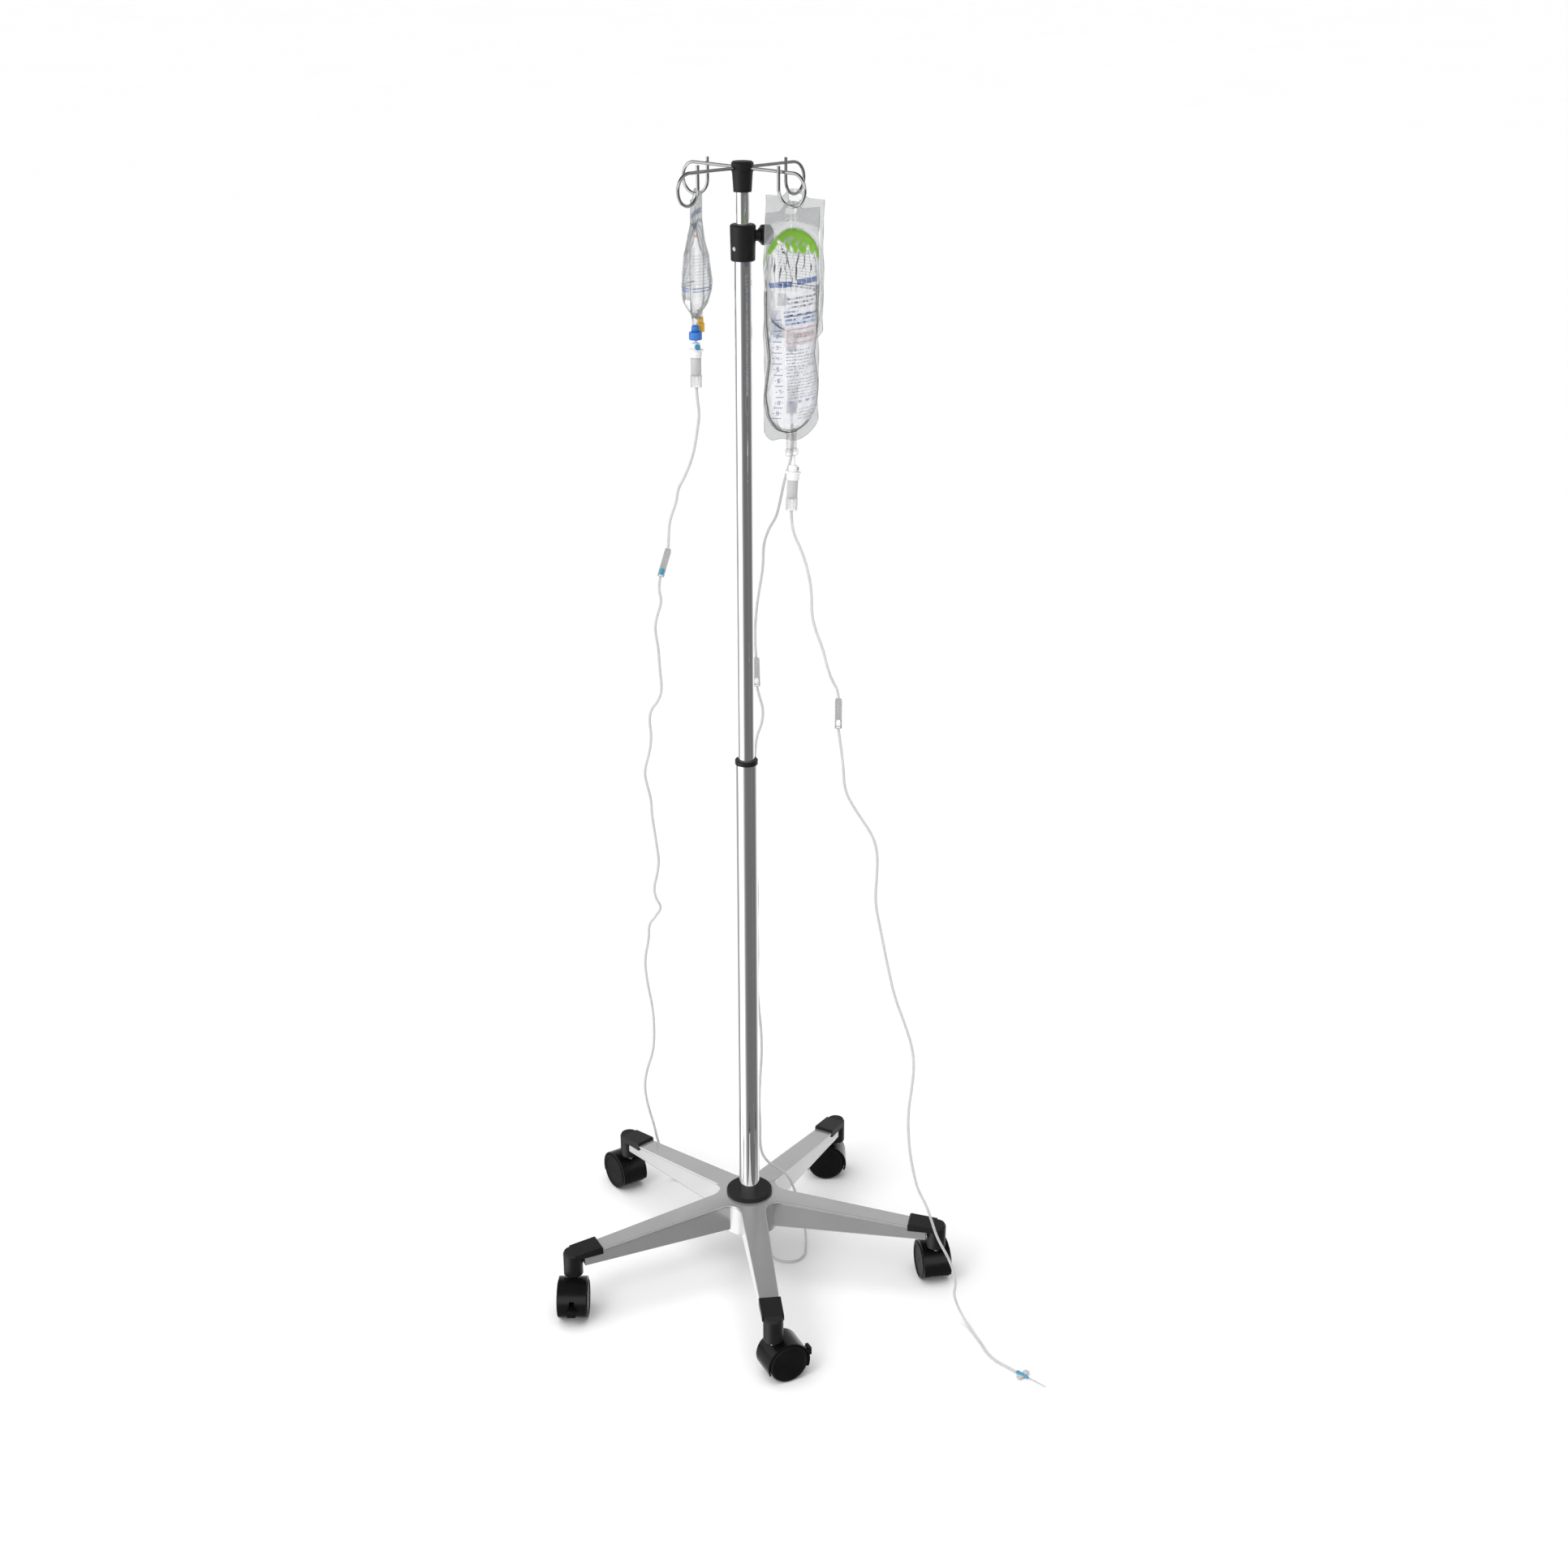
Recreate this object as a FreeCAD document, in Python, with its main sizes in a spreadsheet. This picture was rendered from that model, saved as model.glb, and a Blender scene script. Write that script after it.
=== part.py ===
import FreeCAD, Part
import math
import os
import re

import Sketcher

# Infusion stand: five-legged wheeled base, telescopic pole with four bag hooks,
# three drip bags with their drip chambers, roller clamps and free tubing.
# Frame: millimetres, +Z up, origin on the floor under the pole's axis.

document = FreeCAD.newDocument("InfusionStand")
sheet = document.addObject("Spreadsheet::Sheet", "Sizes")
parts = []

SIZES = {
    # base casting
    "leg_count": 5, "leg_reach": 286, "leg_root_width": 41, "leg_tip_width": 29,
    "star_low": 82, "star_high": 130, "star_tip_high": 101.5, "crown_flat": 38,
    "web_round": 22, "lip_step": 1.2, "lip_deep": 3.5, "lip_round": 1.2,
    "hollow_wall": 5, "hollow_deep": 12, "skirt_dia": 92, "skirt_low": 76,
    "crown_reach": 340, "socket_low": 98,
    "disc_dia": 72, "disc_thick": 7, "disc_bevel": 1.5,
    # pole
    "lower_dia": 32, "lower_wall": 1.5, "lower_high": 862,
    "middle_dia": 24, "middle_wall": 1.2, "middle_low": 760, "middle_high": 1605,
    "top_dia": 18, "top_wall": 1.2, "top_low": 950, "top_high": 1700,
    "collar_dia": 33.5, "collar_high": 869, "sleeve_low": 800,
    "bush_low": 1555, "slide_gap": 0.05,
    # height clamp
    "clamp_low": 1587, "clamp_high": 1635, "clamp_dia": 35, "clamp_foot_dia": 33,
    "clamp_bevel": 2, "clamp_throat": 19, "screw_height": 1619, "screw_dia": 6,
    "screw_tip": 9.2, "boss_dia": 15, "boss_reach": 24, "knob_dia": 27,
    "knob_gap": 0.6, "knob_thick": 16, "knob_azimuth": 25, "screw_bite": 8,
    "rivet_dia": 6, "rivet_height": 1604, "rivet_azimuth": 227, "rivet_proud": 1.2,
    # head and hooks
    "head_low": 1677, "head_high": 1717, "head_foot_dia": 24.5, "head_dia": 30,
    "arm_height": 1708, "wire_dia": 4.5, "arm_start": 9.5, "loop_place": 95,
    "loop_bend": 21, "loop_turn": 9, "hook_tip": 1716,
    # leg caps, stems and casters
    "stem_circle": 300, "cap_dia": 30, "cap_low": 66, "cap_high": 105,
    "cap_inner": 256, "cap_arm_width": 32.8, "cap_arm_low": 97, "cap_arm_high": 109.5,
    "cap_round": 1.8, "stem_dia": 10, "stem_low": 36, "stem_high": 88, "neck_dia": 13,
    "neck_gap": 0.3, "wheel_dia": 60, "wheel_span": 47.5, "wheel_inner": 8,
    "wheel_bevel": 2, "trail": 16, "hood_dia": 68, "hood_span": 44, "hood_low": 18,
    "well_dia": 62.4, "web_half": 7.5, "axle_dia": 6, "axle_half": 20,
    "lever_pivot": 40, "lever_height": 32, "lever_root_dia": 6.8, "lever_half": 3.3,
    "slot_half": 4, "slot_start": 35.5, "slot_end": 54, "slot_low": 21, "slot_high": 44,
    "paddle_start": 55, "paddle_end": 60, "paddle_width": 13, "paddle_low": 24,
    "paddle_high": 36,
    # drip bags, measured down from the hook wire
    "film_thick": 1.2, "slot_width": 24, "slot_tall": 10.5, "slot_over": 2.7,
    "arch_width": 34, "arch_over": 7, "header_drop": 4, "port_dia": 10,
    "port_pair_wide": 16.4, "port_pair_deep": 7.6, "port_cap_dia": 17,
    "bag_a_width": 84, "bag_a_seam": 168, "bag_a_depth": 40,
    "bag_b_width": 100, "bag_b_seam": 313, "bag_b_depth": 42,
    "bag_c_width": 100, "bag_c_seam": 200, "bag_c_depth": 38,
    # drip chamber, measured down from the cap's top
    "spike_dia": 5.6, "dome_dia": 13, "flange_dia": 21.5, "flange_top": 9,
    "flange_low": 13, "ring_dia": 19.7, "ring_low": 20, "barrel_dia": 14.4,
    "barrel_low": 61, "outlet_dia": 6, "outlet_low": 63,
    # tubing and what is on it
    "tube_dia": 4, "clamp_body_long": 42, "clamp_body_wide": 9, "clamp_body_deep": 11,
    "channel_wide": 6, "channel_deep": 8.5, "roller_dia": 9, "roller_wide": 5.4,
    "luer_dia": 6, "luer_long": 22, "wing_span": 24, "wing_long": 9, "wing_thick": 1.2,
    "catheter_dia": 1.2, "catheter_long": 32,
}

# Directions of the five legs and, at each, the way the caster trails, in degrees.
CASTERS = {
    "front": (-82.5, 25.0),
    "right": (-10.5, 102.0),
    "rear_right": (61.5, 180.0),
    "rear_left": (133.5, 125.0),
    "left": (205.5, -90.0),
}
BRAKED = ("front", "left")
HOOKS = {"front_right": -45.0, "rear_right": 45.0, "rear_left": 135.0, "front_left": 225.0}

# Each bag: the hook it hangs on, the direction of its width in degrees, and the
# place of its outlet port along its width and depth.
BAGS = {
    "a": {"hook": "rear_left", "facing": 79.0, "port": (-5.0, 2.0)},
    "b": {"hook": "front_right", "facing": 42.0, "port": (0.0, 0.0)},
    "c": {"hook": "rear_right", "facing": -37.0, "port": (-5.0, 0.0)},
}
# Bladder sections of each bag: drop below the wire, share of width, share of depth.
BLADDERS = {
    "a": [(34, 0.86, 0.06), (62, 0.86, 0.42), (100, 0.88, 0.86), (135, 0.86, 1.0),
          (155, 0.72, 0.72), (167, 0.40, 0.20)],
    "b": [(46, 0.88, 0.06), (84, 0.88, 0.40), (150, 0.90, 0.80), (235, 0.90, 1.0),
          (280, 0.84, 0.84), (300, 0.50, 0.30)],
    "c": [(44, 0.88, 0.06), (72, 0.88, 0.42), (110, 0.90, 0.84), (150, 0.90, 1.0),
          (176, 0.82, 0.78), (189, 0.48, 0.26)],
}
# How far below the wire each bag's outlet port and its drip chamber's cap start.
PORT_END = {"a": 197.0, "b": 329.0, "c": 218.0}
CAP_TOP = {"a": 201.0, "b": 342.0, "c": 240.0}

# Roller clamps: top centre and bottom centre of each body.
ROLLER_CLAMPS = {
    "a": ((-113, 83, 1162), (-125, 86, 1122)),
    "b": ((131, -112, 1002), (131, -113, 960)),
    "c": ((14, 65, 1002), (15, 65, 960)),
}

# Routes of the tubing, from each drip chamber to its roller clamp and on from there.
UPPER_ROUTES = {
    "a": [(-67.6, 65.2, 1401.6), (-67, 66, 1386), (-64, 69, 1363), (-69, 72, 1332),
          (-74, 74, 1304), (-86, 76, 1273), (-97, 77, 1254), (-100, 78, 1232),
          (-109, 80, 1210), (-112, 82, 1187), (-112.9, 83, 1162.5)],
    "b": [(65.0, -69.7, 1260.6), (65, -71, 1246), (69, -77, 1228), (79, -81, 1208),
          (88, -86, 1181), (93, -90, 1151), (93, -94, 1122), (98, -98, 1100),
          (109, -103, 1073), (115, -107, 1048), (122, -109, 1028), (130, -111, 1016),
          (131, -112, 1002.3)],
    "c": [(65.7, 68.1, 1362.6), (66, 67, 1349), (68, 66, 1331), (67, 66, 1311),
          (63, 66, 1293), (57, 65, 1275), (53, 64, 1257), (49, 64, 1237),
          (44, 64, 1216), (33, 64, 1199), (25, 64, 1175), (25, 65, 1142),
          (19, 65, 1108), (14, 65, 1072), (12, 65, 1037), (14, 65, 1002.3)],
}
LOWER_ROUTES = {
    "a": [(-125.2, 86, 1121.5), (-129, 87, 1104), (-124, 88, 1083), (-131, 90, 1062),
          (-136, 91, 1041), (-131, 93, 1010), (-130, 95, 975), (-127, 97, 943),
          (-133, 98, 924), (-144, 99, 911), (-148, 101, 893), (-145, 104, 866),
          (-149, 107, 837), (-158, 111, 806), (-155, 115, 783), (-149, 119, 757),
          (-149, 124, 729), (-146, 128, 703), (-143, 132, 673), (-140, 136, 645),
          (-144, 139, 619), (-150, 142, 595), (-147, 144, 576), (-138, 146, 560),
          (-148, 148, 544), (-160, 150, 528), (-160, 154, 502), (-169, 160, 460),
          (-165, 167, 412), (-158, 173, 366), (-157, 179, 318), (-160, 184, 280),
          (-172, 189, 243), (-177, 193, 208), (-172, 197, 170), (-163, 201, 132),
          (-158, 206, 98), (-149, 213, 68), (-146, 223, 40), (-145, 232, 21),
          (-141, 238, 9), (-131, 238, 3), (-121, 231, 2), (-112, 218, 2),
          (-98, 208, 2), (-78, 206, 2), (-54, 200, 2), (-30, 201, 2), (-6, 194, 2),
          (16, 190, 2)],
    "b": [(131, -113, 959.5), (133, -114, 945), (136, -116, 924), (139, -118, 897),
          (140, -118, 875), (147, -120, 854), (163, -121, 828), (182, -123, 799),
          (189, -124, 771), (188, -126, 735), (186, -127, 697), (194, -129, 657),
          (204, -132, 606), (216, -134, 550), (230, -136, 511), (243, -138, 472),
          (248, -139, 437), (245, -141, 398), (240, -142, 358), (242, -145, 305),
          (249, -147, 262), (257, -149, 228), (270, -150, 203), (278, -151, 179),
          (288, -154, 146), (305, -158, 115), (315, -160, 89), (319, -160, 66),
          (316, -160, 47), (321, -161, 31), (328, -166, 16), (337, -178, 5),
          (345, -197, 2), (354, -221, 2), (361, -245, 2), (372, -264, 2),
          (388, -279, 2), (402, -292, 2)],
    "c": [(15, 65, 959.5), (18, 65, 944), (24, 65, 925), (23, 65, 902),
          (14, 65, 880), (11, 65, 851), (13, 66, 815), (11, 65, 770),
          (14, 64, 721), (12, 65, 671), (15, 66, 622), (13, 65, 572),
          (15, 64, 522), (13, 65, 473), (15, 66, 427), (19, 65, 386),
          (20, 65, 345), (17, 64, 300), (15, 63, 256), (17, 62, 215),
          (16, 61, 183), (20, 60, 160), (31, 59, 145), (45, 57, 138),
          (59, 54, 129), (69, 51, 111), (76, 49, 87), (83, 50, 62),
          (88, 52, 38), (91, 46, 15), (91, 31, 3), (89, 12, 2),
          (80, -3, 2), (64, -9, 2), (46, -5, 2), (34, 8, 2), (28, 28, 2),
          (25, 50, 2), (19, 74, 2), (18, 100, 2), (12, 124, 2), (10, 146, 2)],
}


def fill_sheet():
    """Write every driving dimension into the sheet, each with its alias."""
    for row, (alias, value) in enumerate(SIZES.items(), start=1):
        sheet.set("A%d" % row, alias.replace("_", " "))
        sheet.set("B%d" % row, str(value))
        sheet.setAlias("B%d" % row, alias)
    document.recompute()


def in_sheet(text):
    """Turn the sheet's words in a formula into references to the sheet."""
    return re.sub(
        r"[a-z_]+",
        lambda word: "Sizes." + word.group(0) if word.group(0) in SIZES else word.group(0),
        str(text),
    )


def size(text):
    """The value of a formula in the sheet's words."""
    return float(sheet.evalExpression(in_sheet(text)))


def bind(item, **formulas):
    """Bind an object's properties to formulas in the sheet's words."""
    for name, text in formulas.items():
        item.setExpression(name, in_sheet(text))
    return item


def seat(item, place=(0, 0, 0), yaw=0.0, tilt=None):
    """Place a piece: turned by yaw about Z, or with its own Z along tilt."""
    turn = FreeCAD.Rotation(FreeCAD.Vector(0, 0, 1), yaw)
    if tilt is not None:
        turn = FreeCAD.Rotation(FreeCAD.Vector(0, 0, 1), FreeCAD.Vector(*tilt))
    item.Placement = FreeCAD.Placement(FreeCAD.Vector(*place), turn)
    return item


def keep(item, node):
    """Name a finished sub-part and list it for writing."""
    item.Label = node
    parts.append(item)
    return item


def origin_feature(body, role):
    return [item for item in body.Origin.OriginFeatures if item.Role == role][0]


def outline(body, role, corners, lift="0"):
    """A closed sketch whose corners are held by formulas in the sheet's words."""
    sketch = body.newObject("Sketcher::SketchObject", "Outline")
    sketch.AttachmentSupport = (origin_feature(body, role), [""])
    sketch.MapMode = "FlatFace"
    sketch.setExpression("AttachmentOffset.Base.z", in_sheet(lift))
    spots = [FreeCAD.Vector(size(across), size(up), 0) for across, up in corners]
    count = len(spots)
    for index, spot in enumerate(spots):
        sketch.addGeometry(Part.LineSegment(spot, spots[(index + 1) % count]))
    for index in range(count):
        after = (index + 1) % count
        sketch.addConstraint(Sketcher.Constraint("Coincident", index, 2, after, 1))
    for index, (across, up) in enumerate(corners):
        hold_corner(sketch, index, "DistanceX", -2, across, spots[index].x)
        hold_corner(sketch, index, "DistanceY", -1, up, spots[index].y)
    return sketch


def hold_corner(sketch, index, kind, axis, formula, value):
    """Hold one corner of a sketch along one axis."""
    if abs(value) < 1e-9:
        sketch.addConstraint(Sketcher.Constraint("PointOnObject", index, 1, axis))
        return
    number = sketch.addConstraint(Sketcher.Constraint(kind, -1, 1, index, 1, value))
    sketch.setExpression("Constraints[%d]" % number, in_sheet(formula))


def turned(name, corners):
    """A body turned about its own Z axis from a profile of (radius, height)."""
    body = document.addObject("PartDesign::Body", name)
    profile = outline(body, "XZ_Plane", corners)
    turn = body.newObject("PartDesign::Revolution", name + "_turn")
    turn.Profile = profile
    turn.ReferenceAxis = (profile, ["V_Axis"])
    turn.Angle = 360
    document.recompute()
    return body


def padded_body(name, role, corners, length, lift="0", midplane=False):
    """A body padded from one outline."""
    body = document.addObject("PartDesign::Body", name)
    pad = body.newObject("PartDesign::Pad", name + "_pad")
    pad.Profile = outline(body, role, corners, lift)
    bind(pad, Length=length)
    pad.SideType = "Symmetric" if midplane else "One side"
    document.recompute()
    return body


def tube(name, outer, inner, low, high):
    """A round tube between two heights."""
    inside, outside = "(%s) / 2" % inner, "(%s) / 2" % outer
    corners = [(inside, low), (outside, low), (outside, high), (inside, high)]
    return turned(name, corners)


def rod(name, diameter, length):
    item = document.addObject("Part::Cylinder", name)
    return bind(item, Radius="(%s) / 2" % diameter, Height=length)


def block(name, along, across, height):
    item = document.addObject("Part::Box", name)
    return bind(item, Length=along, Width=across, Height=height)


def fused(name, pieces):
    item = document.addObject("Part::MultiFuse", name)
    item.Shapes = pieces
    return item


def cut(name, base, tool):
    item = document.addObject("Part::Cut", name)
    item.Base = base
    item.Tool = tool
    return item


def grouped(name, pieces):
    item = document.addObject("Part::Compound", name)
    item.Links = pieces
    return item


def around(radius, azimuth, height=0.0):
    """A point at a radius and azimuth (degrees) round the pole."""
    turn = math.radians(azimuth)
    return (radius * math.cos(turn), radius * math.sin(turn), height)


# ---------------------------------------------------------------- base casting

def star_slab(name, inset, low, high, webs=False):
    """Five tapered legs padded between two heights, with or without rounded webs."""
    body = document.addObject("PartDesign::Body", name)
    root = "(leg_root_width / 2 - (%s))" % inset
    tip = "(leg_tip_width / 2 - (%s))" % inset
    reach = "(leg_reach - (%s))" % inset
    corners = [("0", "-" + root), (reach, "-" + tip), (reach, tip), ("0", root)]
    leg = body.newObject("PartDesign::Pad", name + "_leg")
    leg.Profile = outline(body, "XY_Plane", corners, low)
    bind(leg, Length="(%s) - (%s)" % (high, low))
    ring = body.newObject("PartDesign::PolarPattern", name + "_legs")
    ring.Originals = [leg]
    ring.Axis = (origin_feature(body, "Z_Axis"), [""])
    ring.Angle = 360
    bind(ring, Occurrences="leg_count")
    body.Tip = ring
    document.recompute()
    if not webs:
        return seat(body, yaw=CASTERS["front"][0])
    web = body.newObject("PartDesign::Fillet", name + "_webs")
    web.Base = (ring, inner_corners(ring.Shape))
    bind(web, Radius="web_round")
    body.Tip = web
    document.recompute()
    return seat(body, yaw=CASTERS["front"][0])


def inner_corners(shape):
    """The upright edges where two neighbouring legs meet."""
    near = size("leg_root_width")
    names = []
    for number, edge in enumerate(shape.Edges, start=1):
        ends = [vertex.Point for vertex in edge.Vertexes]
        upright = len(ends) == 2 and math.hypot(ends[0].x - ends[1].x, ends[0].y - ends[1].y) < 0.01
        if upright and math.hypot(ends[0].x, ends[0].y) < near:
            names.append("Edge%d" % number)
    return names


def crown_height(drop="0"):
    """Corners of the casting's top slope, lowered by a drop."""
    inner = ("crown_flat", "star_high - (%s)" % drop)
    slope = "(star_high - star_tip_high) / (leg_reach - crown_flat)"
    outer = ("crown_reach", "star_high - (%s) - %s * (crown_reach - crown_flat)" % (drop, slope))
    return inner, outer


def make_star():
    walls = star_slab("star_walls", "lip_step", "star_low", "star_high")
    lip = star_slab("star_lip", "0", "star_low", "star_high", webs=True)
    hollow = star_slab("star_hollow", "lip_step + hollow_wall", "star_low - 1",
                       "star_low + hollow_deep")
    post = rod("hub_post", "skirt_dia", "star_high - skirt_low")
    post.Placement.Base.z = size("skirt_low")
    inner, outer = crown_height()
    crown = turned("crown_tool", [inner, outer, ("crown_reach", "star_high + 20"),
                                  ("0", "star_high + 20"), ("0", "star_high")])
    inner, outer = crown_height("lip_deep")
    below = turned("under_lip_tool", [("0", "star_low - 20"), ("crown_reach", "star_low - 20"),
                                      outer, inner, ("0", "star_high - lip_deep")])
    socket = rod("socket_tool", "lower_dia", "star_high")
    socket.Placement.Base.z = size("socket_low")
    shell = cut("star_shell", walls, cut("hollow_tool", hollow, post))
    rim = cut("star_rim", lip, below)
    blank = cut("star_blank", fused("star_solid", [shell, rim, post]), crown)
    star = cut("star_cut", blank, socket)
    document.recompute()
    rounded = document.addObject("Part::Fillet", "star_rounded")
    rounded.Base = star
    radius = size("lip_round")
    rounded.Edges = [(number, radius, radius) for number in rim_edges(star.Shape)]
    document.recompute()
    return keep(rounded, "base_star")


def rim_edges(shape):
    """The outer edges of the top face, all round the legs."""
    middle = size("star_high - lip_deep / 2")
    fall = size("(star_high - star_tip_high) / (leg_reach - crown_flat)")
    numbers = []
    for number, edge in enumerate(shape.Edges, start=1):
        spot = edge.valueAt((edge.FirstParameter + edge.LastParameter) / 2)
        reach = math.hypot(spot.x, spot.y)
        top = middle - fall * (reach - size("crown_flat"))
        if reach > size("crown_flat + 2") and spot.z > top:
            numbers.append(number)
    return numbers


def make_disc():
    bore = "lower_dia / 2"
    corners = [(bore, "star_high"), ("disc_dia / 2", "star_high"),
               ("disc_dia / 2", "star_high + disc_thick - disc_bevel"),
               ("disc_dia / 2 - disc_bevel", "star_high + disc_thick"),
               (bore, "star_high + disc_thick")]
    keep(turned("disc", corners), "hub_disc")


# ------------------------------------------------------------------------ pole

def make_pole():
    keep(tube("lower", "lower_dia", "lower_dia - 2 * lower_wall", "socket_low", "lower_high"),
         "lower_tube")
    keep(tube("middle", "middle_dia", "middle_dia - 2 * middle_wall", "middle_low",
              "middle_high"), "middle_tube")
    keep(tube("top", "top_dia", "top_dia - 2 * top_wall", "top_low", "top_high"), "top_tube")
    keep(tube("bush", "middle_dia - 2 * middle_wall", "top_dia + 2 * slide_gap", "bush_low",
              "middle_high"), "clamp_bush")
    sleeve = "lower_dia / 2 - lower_wall"
    corners = [("middle_dia / 2", "sleeve_low"), (sleeve, "sleeve_low"), (sleeve, "lower_high"),
               ("collar_dia / 2", "lower_high"), ("collar_dia / 2", "collar_high - 1"),
               ("collar_dia / 2 - 1", "collar_high"), ("middle_dia / 2", "collar_high")]
    keep(turned("collar", corners), "tube_collar")


# ---------------------------------------------------------------- height clamp

def make_clamp():
    throat = "clamp_throat / 2"
    corners = [("middle_dia / 2", "clamp_low"), ("clamp_foot_dia / 2 - 1", "clamp_low"),
               ("clamp_foot_dia / 2", "clamp_low + 1"),
               ("clamp_dia / 2", "clamp_high - clamp_bevel"),
               ("clamp_dia / 2 - clamp_bevel", "clamp_high"), (throat, "clamp_high"),
               (throat, "middle_high"), ("middle_dia / 2", "middle_high")]
    sleeve = turned("clamp_sleeve", corners)
    outward = around(1, SIZES["knob_azimuth"])
    boss = rod("clamp_boss", "boss_dia", "boss_reach - clamp_throat / 2 - 1")
    seat(boss, around(size("clamp_throat / 2 + 1"), SIZES["knob_azimuth"], size("screw_height")),
         tilt=outward)
    bore = rod("screw_bore", "screw_dia + 2 * slide_gap", "boss_reach + 5")
    seat(bore, (0, 0, size("screw_height")), tilt=outward)
    keep(cut("clamp_cut", fused("clamp_solid", [sleeve, boss]), bore), "height_clamp")

    knob_start = "(boss_reach + knob_gap)"
    screw = rod("screw", "screw_dia", knob_start + " + screw_bite - screw_tip")
    seat(screw, around(size("screw_tip"), SIZES["knob_azimuth"], size("screw_height")),
         tilt=outward)
    keep(screw, "clamp_screw")
    grip = "knob_dia / 2"
    corners = [("screw_dia / 2", "0"), (grip + " - 4", "0"), (grip + " - 4", "2"),
               (grip, "4"), (grip, "knob_thick - 2"), (grip + " - 2", "knob_thick"),
               ("0", "knob_thick"), ("0", "screw_bite"), ("screw_dia / 2", "screw_bite")]
    knob = turned("knob", corners)
    seat(knob, around(size(knob_start), SIZES["knob_azimuth"], size("screw_height")),
         tilt=outward)
    keep(knob, "clamp_knob")

    rivet_side = SIZES["rivet_azimuth"]
    foot = "(clamp_foot_dia / 2 + 0.4)"
    rivet = turned("rivet", [("0", "0"), ("rivet_dia / 2", "0"), ("rivet_dia / 2", "0.5"),
                             ("rivet_dia / 4", "rivet_proud"), ("0", "rivet_proud")])
    seat(rivet, around(size(foot), rivet_side, size("rivet_height")), tilt=around(1, rivet_side))
    keep(rivet, "clamp_rivet")


# -------------------------------------------------------------- head and hooks

def swept(name, diameter, wire):
    """A round bar along a wire that starts straight."""
    spine = document.addObject("Part::Feature", name + "_line")
    spine.Shape = wire
    ring = document.addObject("Part::Circle", name + "_ring")
    bind(ring, Radius="(%s) / 2" % diameter)
    first = wire.OrderedEdges[0] if hasattr(wire, "OrderedEdges") else wire.Edges[0]
    ahead = first.tangentAt(first.FirstParameter)
    seat(ring, tuple(first.valueAt(first.FirstParameter)), tilt=tuple(ahead))
    bar = document.addObject("Part::Sweep", name)
    bar.Sections = [ring]
    bar.Spine = (spine, [])
    bar.Solid = True
    bar.Frenet = False
    bar.Transition = "Transformed"
    document.recompute()
    return bar


def hook_wire():
    """One hook in its own frame: arm along +X, then a loop down and up to the tip."""
    bend, height = size("loop_bend"), size("arm_height")
    middle, tip = size("loop_place"), size("hook_tip")
    turn = math.radians(SIZES["loop_turn"])
    inward = FreeCAD.Vector(-math.cos(turn), -math.sin(turn), 0)
    up = FreeCAD.Vector(0, 0, 1)
    half = math.sqrt(0.5)
    start = FreeCAD.Vector(size("arm_start"), 0, height)
    top = FreeCAD.Vector(middle, 0, height)
    shoulder = FreeCAD.Vector(middle + bend * half, 0, height - bend * (1 - half))
    outer = FreeCAD.Vector(middle + bend, 0, height - bend)
    low = outer + inward * bend - up * bend
    inner = outer + inward * (2 * bend)
    end = FreeCAD.Vector(inner.x, inner.y, tip)
    edges = [Part.LineSegment(start, top).toShape(), Part.Arc(top, shoulder, outer).toShape(),
             Part.Arc(outer, low, inner).toShape(), Part.LineSegment(inner, end).toShape()]
    return Part.Wire(edges), low


def make_head():
    top = "head_dia / 2"
    corners = [("top_dia / 2", "head_low"), ("head_foot_dia / 2", "head_low"),
               (top + " - 1.2", "arm_height - 7"), (top, "arm_height - 3"),
               (top, "head_high - 3"), (top + " - 2", "head_high - 0.8"),
               ("6", "head_high"), ("0", "head_high"), ("0", "top_high"),
               ("top_dia / 2", "top_high")]
    knob = turned("head", corners)
    bores = []
    for hook, azimuth in HOOKS.items():
        bore = rod("arm_bore_" + hook, "wire_dia", "head_dia")
        seat(bore, around(size("arm_start"), azimuth, size("arm_height")),
             tilt=around(1, azimuth))
        bores.append(bore)
    keep(cut("head_cut", knob, fused("arm_bores", bores)), "hook_head")
    for hook, azimuth in HOOKS.items():
        wire = hook_wire()[0]
        keep(seat(swept("hook_" + hook, "wire_dia", wire), yaw=azimuth), "hook_" + hook)


def hook_low_point(hook):
    """The middle of the wire at the bottom of a hook's loop."""
    low = hook_wire()[1]
    turn = FreeCAD.Rotation(FreeCAD.Vector(0, 0, 1), HOOKS[hook])
    return tuple(turn.multVec(low))


# --------------------------------------------------------------- base hardware

def make_leg_end(spot, azimuth):
    """The moulded cap over one leg's end and the caster stem under it."""
    post = turned("post_" + spot, [
        ("stem_dia / 2", "cap_low"), ("cap_dia / 2", "cap_low"),
        ("cap_dia / 2", "cap_high - 2 * cap_round"),
        ("cap_dia / 2 - cap_round", "cap_high"), ("0", "cap_high"),
        ("0", "stem_high"), ("stem_dia / 2", "stem_high")])
    seat(post, around(SIZES["stem_circle"], azimuth), yaw=azimuth)
    arm = padded_body("arm_" + spot, "XZ_Plane", [
        ("cap_inner", "cap_arm_low"), ("stem_circle - cap_dia / 2 + 2", "cap_arm_low"),
        ("stem_circle", "cap_arm_low"), ("stem_circle", "cap_high"),
        ("cap_inner + 2", "cap_arm_high"), ("cap_inner", "cap_arm_high - 2")],
        "cap_arm_width", midplane=True)
    seat(arm, yaw=azimuth)
    bore = rod("bore_" + spot, "stem_dia", "stem_high - cap_low")
    seat(bore, around(SIZES["stem_circle"], azimuth, SIZES["cap_low"]))
    return post, arm, bore


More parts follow.
